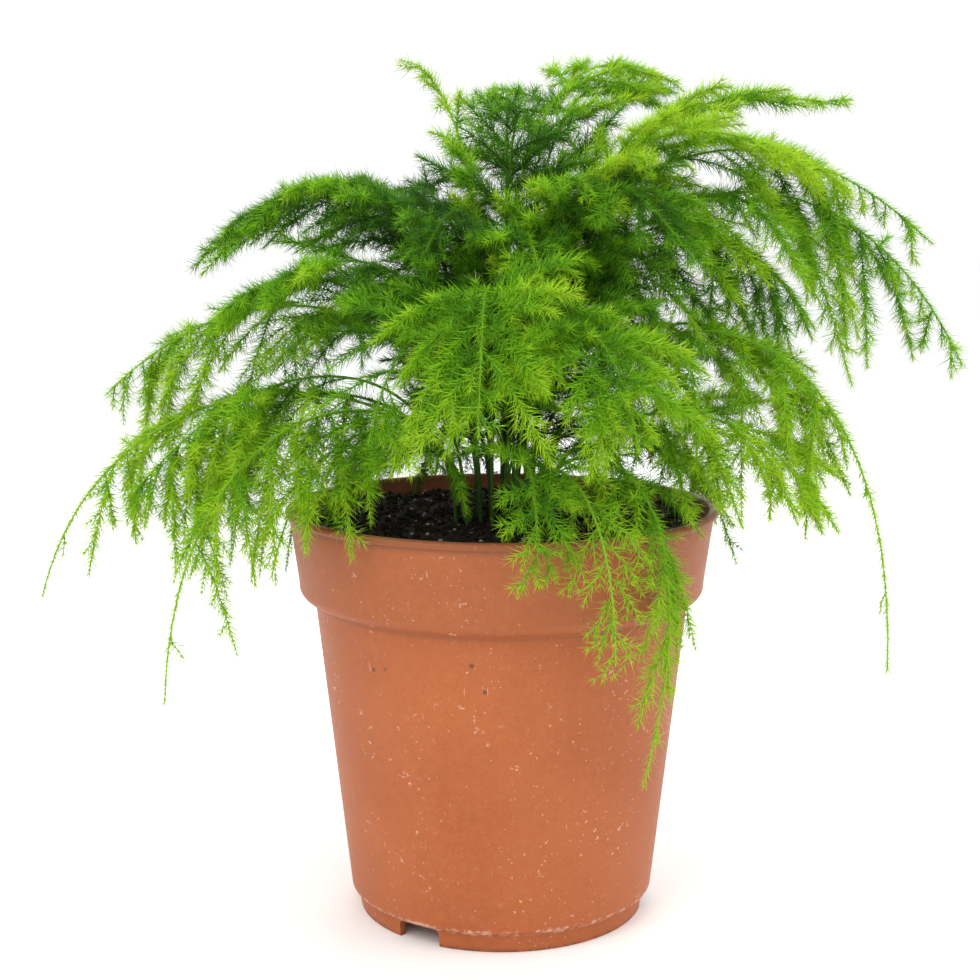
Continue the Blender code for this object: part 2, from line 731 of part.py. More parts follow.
def make_fronds(roots):
    """Every frond, with the lines settled first, so that nothing crosses."""
    room = Room()
    stems = {}
    for owner, frond in enumerate(FRONDS):
        stems[owner] = stem_route(frond, roots[frond.name])
        reserve(room, stems[owner], ROOT_HOLE_DEPTH, STEM_RADIUS + STEM_BULGE, owner)
    sprays = {}
    for owner, frond in enumerate(FRONDS):
        for index in range(frond.sprays):
            number = 100 * (owner + 1) + index
            route = choose_spray(frond, stems[owner], index, room, owner)
            sprays[number] = route
            if route is not None:
                reserve(room, route, SPRAY_BASE, SPRAY_RADIUS, number)
    growths = []
    for owner, frond in enumerate(FRONDS):
        growth = Growth()
        own = {index: sprays[100 * (owner + 1) + index] for index in range(frond.sprays)}
        stations = stem_stations(frond, stems[owner], own)
        lower = -rolled(frond, stems[owner], 0.0)[1]
        growth.tube(stems[owner], stations, (STEM_RADIUS, STEM_TIP_RADIUS), owner, lean=lower)
        grown = [(index, route) for index, route in own.items() if route is not None]
        for socket, (index, route) in zip(list(growth.sockets), grown):
            number = 100 * (owner + 1) + index
            stations = spray_stations(route)
            growth.tube(route, stations, (SPRAY_RADIUS, SPRAY_TIP_RADIUS), number, root=socket)
        growths.append(growth)
    draw = random.Random(41)
    leaf = make_material("fern_green", (0.10, 0.33, 0.02), 0.55)
    for frond, growth in zip(FRONDS, growths):
        for bud in growth.buds:
            growth.needle(bud, draw, room)
        make_object(frond.name, growth.points, growth.faces, leaf)


def main():
    for thing in list(bpy.data.objects):
        bpy.data.objects.remove(thing, do_unlink=True)
    roots = crowd_roots()
    make_pot()
    make_soil(roots)
    make_fronds(roots)


main()
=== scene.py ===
"""A potted lace fern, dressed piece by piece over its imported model.

Lengths in the sections are millimetres unless a comment says otherwise, and turn into metres where a mesh
is made.
"""

import math
import random
from collections import namedtuple

import bmesh
import bpy
import numpy as np
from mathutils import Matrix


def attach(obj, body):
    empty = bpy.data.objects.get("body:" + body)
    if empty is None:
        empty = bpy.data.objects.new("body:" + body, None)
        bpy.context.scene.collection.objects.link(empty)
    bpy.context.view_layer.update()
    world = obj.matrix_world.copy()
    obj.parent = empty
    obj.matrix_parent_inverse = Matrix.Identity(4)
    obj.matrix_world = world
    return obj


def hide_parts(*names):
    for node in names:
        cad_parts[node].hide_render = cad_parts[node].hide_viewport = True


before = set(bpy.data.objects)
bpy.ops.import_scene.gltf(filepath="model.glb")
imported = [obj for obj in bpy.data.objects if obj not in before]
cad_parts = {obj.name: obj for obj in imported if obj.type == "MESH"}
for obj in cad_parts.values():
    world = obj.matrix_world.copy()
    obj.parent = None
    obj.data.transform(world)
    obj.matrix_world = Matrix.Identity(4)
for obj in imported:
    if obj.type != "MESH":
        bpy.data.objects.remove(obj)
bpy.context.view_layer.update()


# The studio
# A pale floor under soft, even light, as in a plant shop's catalogue. The camera stands half a metre
# in front of the pot, a little above its lip, and looks slightly down.

MM = 0.001
CAMERA_PLACE = (-3.2, -493.0, 197.0)

scene = bpy.context.scene
scene.view_settings.view_transform = "Standard"

lens = bpy.data.cameras.new("front_camera")
lens.lens = 65.8
lens.sensor_width = 36.0
camera = bpy.data.objects.new("front_camera", lens)
camera.location = [value * MM for value in CAMERA_PLACE]
camera.rotation_euler = (math.radians(80.97), 0.0, 0.0)
scene.collection.objects.link(camera)
scene.camera = camera

sky = bpy.data.worlds.new("white_room")
sky.use_nodes = True
sky.node_tree.nodes["Background"].inputs["Color"].default_value = (1.0, 1.0, 1.0, 1.0)
sky.node_tree.nodes["Background"].inputs["Strength"].default_value = 1.04
scene.world = sky


def soft_light(name, place, target, size, power):
    """A square softbox that looks at a target, all in metres and watts."""
    lamp = bpy.data.lights.new(name, "AREA")
    lamp.shape = "SQUARE"
    lamp.size = size
    lamp.energy = power
    lamp.color = (1.0, 0.985, 0.96)
    holder = bpy.data.objects.new(name, lamp)
    holder.location = place
    way = np.array(target) - np.array(place)
    holder.rotation_euler = (
        math.atan2(math.hypot(way[0], way[1]), -way[2]),
        0.0,
        math.atan2(way[1], way[0]) - math.pi / 2,
    )
    scene.collection.objects.link(holder)


soft_light("softbox_over_left", (-0.55, -0.75, 1.0), (0.0, 0.0, 0.12), 0.7, 6.4)
soft_light("softbox_over_right", (0.7, -0.2, 0.9), (0.0, 0.0, 0.16), 0.5, 3.0)
soft_light("softbox_behind", (0.1, 0.9, 0.7), (0.0, 0.0, 0.15), 0.6, 3.0)

floor_mesh = bpy.data.meshes.new("studio_floor")
floor_mesh.from_pydata([(-6, -6, 0), (6, -6, 0), (6, 6, 0), (-6, 6, 0)], [], [(0, 1, 2, 3)])
floor = bpy.data.objects.new("studio_floor", floor_mesh)
scene.collection.objects.link(floor)
pale = bpy.data.materials.new("pale_floor")
pale.use_nodes = True
pale.node_tree.nodes["Principled BSDF"].inputs["Base Color"].default_value = (0.97, 0.97, 0.97, 1.0)
pale.node_tree.nodes["Principled BSDF"].inputs["Roughness"].default_value = 0.9
floor_mesh.materials.append(pale)


# The grower's pot
# One thin shell of injection-moulded plastic in matte terracotta, with a rolled lip, a collar over a
# rounded shoulder, and a foot ring with three drainage notches under a floor with eight holes.

POT_HEIGHT = 114.6
LIP_RADIUS = 60.0
LIP_HEIGHT = 2.2
COLLAR_TOP_RADIUS = 58.9
COLLAR_FOOT_RADIUS = 56.3
COLLAR_FOOT_HEIGHT = 93.6
BODY_TOP_RADIUS = 52.0
BODY_TOP_HEIGHT = 88.5
BODY_FOOT_RADIUS = 42.7
FOOT_HEIGHT = 6.3
FOOT_RADIUS = 40.2
FOOT_WIDTH = 2.0
WALL = 1.4
FLOOR_HEIGHT = 6.0
POT_SIDES = 128
NOTCH_WIDTH = 13.0
NOTCH_HEIGHT = 5.0
NOTCH_HEADINGS = (236.0, 356.0, 116.0)
DRAIN_COUNT = 8
DRAIN_RADIUS = 3.6
DRAIN_CIRCLE = 30.0


def in_plan(heading):
    """The level direction of a heading in degrees."""
    turn = math.radians(heading)
    return np.array([math.cos(turn), math.sin(turn), 0.0])


def make_piece(name, points, faces, material):
    """A closed mesh from points in millimetres, with its normals turned outwards."""
    mesh = bpy.data.meshes.new(name)
    mesh.from_pydata([tuple(np.asarray(point) * MM) for point in points], [], faces)
    shell = bmesh.new()
    shell.from_mesh(mesh)
    bmesh.ops.remove_doubles(shell, verts=shell.verts, dist=1e-6)
    bmesh.ops.recalc_face_normals(shell, faces=shell.faces)
    shell.to_mesh(mesh)
    shell.free()
    mesh.materials.append(material)
    piece = bpy.data.objects.new(name, mesh)
    scene.collection.objects.link(piece)
    return piece


def turned(profile, sides):
    """Points and faces of a body turned round the axis, from a profile that starts and ends on it."""
    points = []
    faces = []
    rings = []
    for radius, height in profile:
        start = len(points)
        if radius == 0.0:
            points.append((0.0, 0.0, height))
            rings.append([start] * sides)
            continue
        for side in range(sides):
            points.append(in_plan(360.0 * side / sides) * radius + np.array([0.0, 0.0, height]))
        rings.append(list(range(start, start + sides)))
    for lower, upper in zip(rings, rings[1:]):
        for side in range(sides):
            after = (side + 1) % sides
            face = [lower[side], lower[after], upper[after], upper[side]]
            faces.append(list(dict.fromkeys(face)))
    return points, faces


def bend(centre, radius, start, end, steps):
    """Points on a small arc of the pot's profile, its angles in degrees from outwards."""
    marks = [math.radians(start + (end - start) * step / steps) for step in range(steps + 1)]
    return [(centre[0] + radius * math.cos(mark), centre[1] + radius * math.sin(mark)) for mark in marks]


def pot_profile():
    """The pot's section: floor from below, foot ring, body, shoulder, collar, lip, and back down inside."""
    under_lip = POT_HEIGHT - LIP_HEIGHT
    floor_top = FLOOR_HEIGHT + WALL
    body_slope = (BODY_TOP_RADIUS - BODY_FOOT_RADIUS) / (BODY_TOP_HEIGHT - FOOT_HEIGHT)
    profile = [(0.0, FLOOR_HEIGHT), (FOOT_RADIUS - FOOT_WIDTH, FLOOR_HEIGHT), (FOOT_RADIUS - FOOT_WIDTH, 0.0)]
    profile += bend((FOOT_RADIUS - 0.4, 0.4), 0.4, -90.0, 0.0, 3)
    profile += [(FOOT_RADIUS + 0.35, FOOT_HEIGHT - 2.0)]
    profile += bend((FOOT_RADIUS + 1.45, FOOT_HEIGHT - 1.9), 1.1, 180.0, 110.0, 4)
    profile += bend((BODY_FOOT_RADIUS - 0.75, FOOT_HEIGHT + 0.45), 0.8, -60.0, 0.0, 4)
    for height in np.linspace(FOOT_HEIGHT + 2.0, BODY_TOP_HEIGHT - 1.0, 12):
        profile.append((BODY_FOOT_RADIUS + body_slope * (height - FOOT_HEIGHT), height))
    profile += bend((BODY_TOP_RADIUS + 0.9, BODY_TOP_HEIGHT + 0.1), 0.9, 180.0, 105.0, 4)
    profile += bend((COLLAR_FOOT_RADIUS - 3.5, COLLAR_FOOT_HEIGHT - 0.3), 3.6, -62.0, 0.0, 7)
    for height in np.linspace(COLLAR_FOOT_HEIGHT + 1.5, under_lip - 0.5, 5):
        share = (height - COLLAR_FOOT_HEIGHT) / (under_lip - COLLAR_FOOT_HEIGHT)
        profile.append((COLLAR_FOOT_RADIUS + (COLLAR_TOP_RADIUS - COLLAR_FOOT_RADIUS) * share, height))
    profile += [(COLLAR_TOP_RADIUS - 0.15, under_lip), (COLLAR_TOP_RADIUS - 0.1, under_lip + 0.15)]
    profile += bend((LIP_RADIUS - 1.1, POT_HEIGHT - 1.05), 1.1, -80.0, 90.0, 8)
    profile += bend((COLLAR_TOP_RADIUS - WALL + 0.5, POT_HEIGHT - 0.5), 0.5, 90.0, 180.0, 3)
    profile += [
        (COLLAR_TOP_RADIUS - WALL, under_lip),
        (COLLAR_FOOT_RADIUS - WALL, COLLAR_FOOT_HEIGHT + 0.2),
        (BODY_TOP_RADIUS - WALL, BODY_TOP_HEIGHT - 0.2),
        (BODY_FOOT_RADIUS - WALL, floor_top),
        (0.0, floor_top),
    ]
    return profile


def take_away(piece, name, points, faces):
    """Cut a shape out of a piece for good."""
    shape = make_piece(name, points, faces, piece.data.materials[0])
    cut = piece.modifiers.new(name, "BOOLEAN")
    cut.operation = "DIFFERENCE"
    cut.solver = "MANIFOLD"
    cut.object = shape
    whole = bpy.data.meshes.new_from_object(piece.evaluated_get(bpy.context.evaluated_depsgraph_get()))
    piece.modifiers.remove(cut)
    piece.data = whole
    bpy.data.objects.remove(shape)


def notch_block(heading):
    """A block through the foot ring, with its upper corners rounded off."""
    out = in_plan(heading)
    across = in_plan(heading + 90.0)
    half = NOTCH_WIDTH / 2
    outline = [(-half, -1.0), (half, -1.0)]
    outline += bend((half - 1.6, NOTCH_HEIGHT - 1.6), 1.6, 0.0, 90.0, 5)
    outline += bend((1.6 - half, NOTCH_HEIGHT - 1.6), 1.6, 90.0, 180.0, 5)
    points = []
    for depth in (FOOT_RADIUS - 6.0, FOOT_RADIUS + 4.0):
        points += [out * depth + across * side + np.array([0.0, 0.0, height]) for side, height in outline]
    count = len(outline)
    faces = [list(reversed(range(count))), list(range(count, 2 * count))]
    for corner in range(count):
        after = (corner + 1) % count
        faces.append([corner, after, count + after, count + corner])
    return points, faces


def drain_rod(heading):
    """A rod through the pot's floor."""
    low = FLOOR_HEIGHT - 2.0
    high = FLOOR_HEIGHT + 4.0
    points, faces = turned([(0.0, low), (DRAIN_RADIUS, low), (DRAIN_RADIUS, high), (0.0, high)], 24)
    return [np.asarray(point) + in_plan(heading) * DRAIN_CIRCLE for point in points], faces


class Socket:
    """An output socket that sums are written with."""

    def __init__(self, sheet, plug):
        self.sheet = sheet
        self.plug = plug

    def sum(self, operation, first, second):
        return self.sheet.add("ShaderNodeMath", {"operation": operation}, {0: first, 1: second})

    def __add__(self, other):
        return self.sum("ADD", self, other)

    def __radd__(self, other):
        return self.sum("ADD", other, self)

    def __rsub__(self, other):
        return self.sum("SUBTRACT", other, self)

    def __mul__(self, other):
        return self.sum("MULTIPLY", self, other)

    def __truediv__(self, other):
        return self.sum("DIVIDE", self, other)


class Sheet:
    """A node tree that nodes are added to one by one."""

    def __init__(self, tree):
        self.tree = tree

    def add(self, kind, settings=None, sockets=None, output=0):
        """A node of a type, its settings first, then the values or links of its sockets."""
        node = self.tree.nodes.new(kind)
        for name, value in (settings or {}).items():
            if name == "stops":
                self.set_stops(node.color_ramp, value)
            else:
                setattr(node, name, value)
        for name, value in (sockets or {}).items():
            self.feed(node.inputs[name], value)
        return Socket(self, node.outputs[output])

    def feed(self, socket, value):
        """Link a socket to another, or give it its own value."""
        if isinstance(value, Socket):
            self.tree.links.new(value.plug, socket)
        else:
            socket.default_value = value

    def set_stops(self, ramp, stops):
        """Give a colour ramp its stops: where each is, and its colour."""
        while len(ramp.elements) < len(stops):
            ramp.elements.new(0.5)
        for element, (place, colour) in zip(ramp.elements, stops):
            element.position = place
            element.color = (*colour, 1.0)

    def clamp(self, value, low, high):
        """Where a value stands between low and high, from 0 to 1, with soft ends."""
        settings = {"interpolation_type": "SMOOTHSTEP"}
        return self.add("ShaderNodeMapRange", settings, {0: value, 1: low, 2: high, 3: 0.0, 4: 1.0})

    def blend(self, share, first, second):
        """One colour into another by a share."""
        first = first if isinstance(first, Socket) else (*first, 1.0)
        second = second if isinstance(second, Socket) else (*second, 1.0)
        return self.add("ShaderNodeMix", {"data_type": "RGBA"}, {0: share, 6: first, 7: second}, 2)

    def noise(self, place, scale, detail=3.0, roughness=0.55):
        """Soft noise, 0 to 1, with a scale in cycles for each metre."""
        sockets = {"Vector": place, "Scale": scale, "Detail": detail, "Roughness": roughness}
        return self.add("ShaderNodeTexNoise", None, sockets)

    def bump(self, relief, strength, depth):
        """The normal of a surface with a relief, its depth in millimetres."""
        sockets = {"Strength": strength, "Distance": depth * MM, "Height": relief}
        return self.add("ShaderNodeBump", None, sockets, "Normal")


def new_finish(name, roughness, specular):
    """A material with its sheet and its surface shader."""
    material = bpy.data.materials.new(name)
    material.use_nodes = True
    surface = material.node_tree.nodes["Principled BSDF"]
    surface.inputs["Roughness"].default_value = roughness
    surface.inputs["Specular IOR Level"].default_value = specular
    return material, Sheet(material.node_tree), surface


def terracotta_plastic():
    """Matte moulded plastic: mottled, scratched and specked, with painted shade on the collar, the lip and
    the corners under them.
    """
    material, sheet, surface = new_finish("terracotta_plastic", 0.5, 0.35)
    place = sheet.add("ShaderNodeTexCoord", None, None, "Object")
    height = sheet.add("ShaderNodeSeparateXYZ", None, {0: place}, "Z") * 1000.0
    cloud = sheet.noise(place, 28.0, 4.0)
    mottle = sheet.noise(place, 420.0, 3.0, 0.7)
    colour = sheet.blend(sheet.clamp(cloud, 0.3, 0.7), (0.368, 0.090, 0.021), (0.428, 0.115, 0.030))
    colour = sheet.blend(sheet.clamp(mottle, 0.35, 0.72) * 0.4, colour, (0.47, 0.147, 0.050))
    grain = sheet.noise(place, 2300.0, 2.0, 0.7)
    colour = sheet.blend(sheet.clamp(grain, 0.38, 0.62) * 0.3, colour, (0.27, 0.055, 0.010))

    # Fine upright and slanting scratches, from noise drawn out along the pot
    drawn = sheet.add("ShaderNodeMapping", None, {"Vector": place, "Scale": (900.0, 900.0, 60.0)})
    tilted = sheet.add(
        "ShaderNodeMapping",
        None,
        {"Vector": place, "Rotation": (0.5, 0.9, 0.2), "Scale": (700.0, 50.0, 700.0)},
    )
    upright = sheet.clamp(sheet.noise(drawn, 1.0, 2.0), 0.70, 0.77)
    slanting = sheet.clamp(sheet.noise(tilted, 1.0, 2.0), 0.65, 0.71)
    patches = sheet.clamp(sheet.noise(place, 60.0, 2.0), 0.44, 0.60)
    scratches = (upright + slanting) * patches
    colour = sheet.blend(scratches * 0.5, colour, (0.80, 0.50, 0.36))

    # Specks of lime scale and crumbs of soil that cling to the wall
    for scale, mask in ((330.0, 0.63), (560.0, 0.60)):
        cells = sheet.add("ShaderNodeTexVoronoi", None, {"Vector": place, "Scale": scale})
        where = sheet.clamp(sheet.noise(place, scale / 2.2, 1.0), mask, mask + 0.04)
        specks = (1.0 - sheet.clamp(cells, 0.07, 0.13)) * where
        colour = sheet.blend(specks * 0.5, colour, (0.84, 0.66, 0.55))
    dirt_cells = sheet.add("ShaderNodeTexVoronoi", None, {"Vector": place, "Scale": 130.0})
    where = sheet.clamp(sheet.noise(place, 50.0, 1.0), 0.62, 0.66)
    dirt = (1.0 - sheet.clamp(dirt_cells, 0.07, 0.11)) * where
    colour = sheet.blend(dirt * 0.8, colour, (0.10, 0.05, 0.03))

    # A pale scuff along the foot line, and dirt on the foot's edge
    ragged = sheet.noise(place, 420.0, 4.0, 0.7)
    foot_line = sheet.clamp(height, 4.4, 5.4) * (1.0 - sheet.clamp(height, 6.2, 7.4))
    scuff = foot_line * sheet.clamp(ragged, 0.46, 0.60)
    colour = sheet.blend(scuff * 0.6, colour, (0.80, 0.60, 0.48))
    soiled = (1.0 - sheet.clamp(height, 0.3, 1.6)) * sheet.clamp(ragged, 0.42, 0.58)
    colour = sheet.blend(soiled * 0.6, colour, (0.09, 0.05, 0.025))

    # Painted shade: a darker collar and lip, and dark lines of painted shade in the corners under both; grime
    # on the lip
    colour = sheet.blend(sheet.clamp(height, 89.0, 91.5) * 0.16, colour, (0.235, 0.090, 0.040))
    colour = sheet.blend(sheet.clamp(height, 112.3, 112.8) * 0.38, colour, (0.150, 0.045, 0.018))
    # Painted shade: a dark line in the corner under the shoulder
    corner = sheet.clamp(height, 87.6, 88.7) * (1.0 - sheet.clamp(height, 89.0, 89.8))
    colour = sheet.blend(corner * 0.35, colour, (0.20, 0.07, 0.03))
    # Painted shade: a dark line in the groove under the lip
    lip_groove_shade = sheet.clamp(height, 110.6, 112.2) * (1.0 - sheet.clamp(height, 112.6, 113.1))
    colour = sheet.blend(lip_groove_shade * 0.5, colour, (0.24, 0.09, 0.04))
    grime = sheet.clamp(height, 113.4, 114.6) * sheet.clamp(sheet.noise(place, 45.0, 3.0), 0.52, 0.68)
    colour = sheet.blend(grime * 0.6, colour, (0.20, 0.13, 0.05))
    sheet.feed(surface.inputs["Base Color"], colour)
    sheet.feed(surface.inputs["Roughness"], 0.46 + sheet.clamp(mottle, 0.3, 0.7) * 0.12 + scratches * 0.15)
    relief = mottle * 0.5 + scratches * 0.4 + cloud * 0.2
    sheet.feed(surface.inputs["Normal"], sheet.bump(relief, 0.35, 0.12))
    return material


pot = make_piece("grower_pot", *turned(pot_profile(), POT_SIDES), terracotta_plastic())
for notch_heading in NOTCH_HEADINGS:
    take_away(pot, "notch", *notch_block(notch_heading))
for drain in range(DRAIN_COUNT):
    take_away(pot, "drain", *drain_rod(360.0 * drain / DRAIN_COUNT))
pot.data.shade_smooth()
pot.data.set_sharp_from_angle(angle=math.radians(40))
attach(pot, "root")
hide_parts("pot")


# The potting mix
# Damp peat-brown mix, loose and crumbly, with white grains of perlite and shreds of bark. It fills the
# pot to just under the lip, and the stems come up through it in one crowded clump.

SOIL_TOP = 110.5
SOIL_GAP = 0.35
SOIL_SIDES = 96
SOIL_RINGS = 30
LUMP_COUNT = 150
LUMP_RISE = 1.3
HIGHEST_LUMP = 1.6


def soil_body():
    """The mix as one closed body whose top rolls and dips a little."""
    floor_height = FLOOR_HEIGHT + WALL + SOIL_GAP
    inside = BODY_FOOT_RADIUS - WALL - SOIL_GAP
    shoulder = BODY_TOP_RADIUS - WALL - SOIL_GAP - 0.3
    collar = COLLAR_FOOT_RADIUS - WALL - SOIL_GAP - 0.2
    edge = collar + (COLLAR_TOP_RADIUS - COLLAR_FOOT_RADIUS) * 0.8
    profile = [(0.0, floor_height), (inside, floor_height), (shoulder, BODY_TOP_HEIGHT - 1.5)]
    profile += [(collar, COLLAR_FOOT_HEIGHT + 1.0), (edge, SOIL_TOP - 1.4)]
    profile += [(edge * (1.0 - ring / SOIL_RINGS), SOIL_TOP) for ring in range(1, SOIL_RINGS)]
    profile.append((0.0, SOIL_TOP))
    points, faces = turned(profile, SOIL_SIDES)
    draw = random.Random(7)
    lumps = []
    for _ in range(LUMP_COUNT):
        lumps.append((draw.uniform(0.0, 52.0), draw.uniform(0.0, 360.0), draw.uniform(1.5, 6.0)))
    peaks = np.array([in_plan(heading) * away for away, heading, _ in lumps])
    widths = np.array([width for _, _, width in lumps])
    rises = np.array([draw.uniform(-LUMP_RISE, LUMP_RISE) for _ in lumps])
    raised = []
    for point in points:
        x, y, z = point
        if z == SOIL_TOP:
            near = np.hypot(peaks[:, 0] - x, peaks[:, 1] - y) / widths
            z += float((rises * np.exp(-(near**2))).clip(-1.5, 1.5).sum()) * 0.6 + draw.uniform(-0.35, 0.35)
        raised.append((x, y, min(z, SOIL_TOP + HIGHEST_LUMP)))
    return raised, faces


def damp_soil(name, dark, light, roughness):
    """Crumb-textured soil between two browns."""
    material, sheet, surface = new_finish(name, roughness, 0.25)
    place = sheet.add("ShaderNodeTexCoord", None, None, "Object")
    grains = sheet.noise(place, 1300.0, 5.0, 0.75)
    clods = sheet.noise(place, 240.0, 4.0)
    colour = sheet.blend(sheet.clamp(grains, 0.35, 0.7), dark, light)
    colour = sheet.blend(sheet.clamp(clods, 0.4, 0.75) * 0.6, colour, dark)
    sheet.feed(surface.inputs["Base Color"], colour)
    sheet.feed(surface.inputs["Normal"], sheet.bump(grains * 0.6 + clods, 0.9, 0.6))
    return material


def open_tree(name, inputs):
    """A geometry tree with named inputs: the tree, its sheet, and each input to link from."""
    tree = bpy.data.node_groups.new(name, "GeometryNodeTree")
    tree.interface.new_socket("Geometry", in_out="INPUT", socket_type="NodeSocketGeometry")
    for title, kind in inputs.items():
        tree.interface.new_socket(title, in_out="INPUT", socket_type="NodeSocket" + kind)
    tree.interface.new_socket("Geometry", in_out="OUTPUT", socket_type="NodeSocketGeometry")
    sheet = Sheet(tree)
    given = tree.nodes.new("NodeGroupInput")
    wanted = {socket.name: Socket(sheet, socket) for socket in given.outputs if socket.name}
    return tree, sheet, wanted


def scatter_tree():
    """Crumbs strewn over a surface: small turned lumps, larger and smaller by chance."""
    inputs = {
        "Crumbs per square metre": "Float",
        "Least size": "Float",
        "Largest size": "Float",
        "Flatness": "Float",
        "Seed": "Int",
        "Finish": "Material",
    }
    tree, sheet, wanted = open_tree("strewn_crumbs", inputs)
    normal = sheet.add("GeometryNodeInputNormal")
    upward = sheet.add("ShaderNodeSeparateXYZ", None, {0: normal}, "Z")
    flat = sheet.add("FunctionNodeCompare", {"operation": "GREATER_THAN"}, {0: upward, 1: 0.5})
    sockets = {"Mesh": wanted["Geometry"], "Selection": flat}
    sockets.update({4: wanted["Crumbs per square metre"], 6: wanted["Seed"]})
    points = sheet.add("GeometryNodeDistributePointsOnFaces", {"distribute_method": "RANDOM"}, sockets)
    lump = sheet.add("GeometryNodeMeshIcoSphere", None, {"Radius": 1.0, "Subdivisions": 1})
    sockets = {0: (0.0, 0.0, 0.0), 1: (6.3, 6.3, 6.3), 8: wanted["Seed"]}
    turn = sheet.add("FunctionNodeRandomValue", {"data_type": "FLOAT_VECTOR"}, sockets)
    sockets = {2: wanted["Least size"], 3: wanted["Largest size"], 8: wanted["Seed"]}
    size = sheet.add("FunctionNodeRandomValue", {"data_type": "FLOAT"}, sockets, 1)
    scale = sheet.add("ShaderNodeCombineXYZ", None, {0: size, 1: size * 0.75, 2: size * wanted["Flatness"]})
    sockets = {"Points": points, "Instance": lump, "Rotation": turn, "Scale": scale}
    strewn = sheet.add("GeometryNodeInstanceOnPoints", None, sockets)
    real = sheet.add("GeometryNodeRealizeInstances", None, {0: strewn})
    dressed = sheet.add("GeometryNodeSetMaterial", None, {0: real, 2: wanted["Finish"]})
    out = tree.nodes.new("NodeGroupOutput")
    sheet.feed(out.inputs[0], dressed)
    return tree


def grow(piece, tree, values):
    """Run a tree on a piece with named values, and return what it makes as a plain mesh."""
    modifier = piece.modifiers.new(tree.name, "NODES")
    modifier.node_group = tree
    for item in tree.interface.items_tree:
        if item.in_out == "INPUT" and item.name in values:
            modifier[item.identifier] = values[item.name]
    graph = bpy.context.evaluated_depsgraph_get()
    grown = piece.evaluated_get(graph)
    made = bpy.data.meshes.new_from_object(grown, preserve_all_data_layers=True, depsgraph=graph)
    piece.modifiers.remove(modifier)
    return made


def strew(name, tree, values):
    """One layer of crumbs on the soil, as a piece of its own."""
    layer = bpy.data.objects.new(name, grow(soil, tree, values))
    scene.collection.objects.link(layer)
    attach(layer, "root")


peat = damp_soil("damp_peat", (0.005, 0.004, 0.003), (0.030, 0.020, 0.012), 0.95)
bark = damp_soil("bark_brown", (0.022, 0.012, 0.006), (0.090, 0.050, 0.026), 0.85)
perlite = damp_soil("perlite_white", (0.26, 0.22, 0.16), (0.58, 0.52, 0.42), 0.8)
soil = make_piece("potting_mix", *soil_body(), peat)
soil.data.shade_smooth()
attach(soil, "root")
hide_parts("soil")
crumbs = scatter_tree()
for crumb_name, density, least, largest, flatness, seed, finish in (
    ("soil_crumbs", 120000.0, 0.0005, 0.0017, 0.7, 3, peat),
    ("bark_shreds", 36000.0, 0.0005, 0.0017, 0.25, 11, bark),
    ("perlite_grains", 16000.0, 0.0003, 0.0009, 0.8, 23, perlite),
):
    measures = {"Least size": least, "Largest size": largest, "Flatness": flatness}
    chances = {"Crumbs per square metre": density, "Seed": seed, "Finish": finish}
    strew(crumb_name, crumbs, {**measures, **chances})


# The fronds
# Each frond is one living shoot of the asparagus fern: a wiry stem that arches from the clump, side
# sprays to its left and right, twigs along the sprays, and whorls of thread-fine needles on all of them.

Frond = namedtuple(
    "Frond",
    "name heading reach tip bow shoulder sway bare side sprays tone trail fullness end_needle",
)
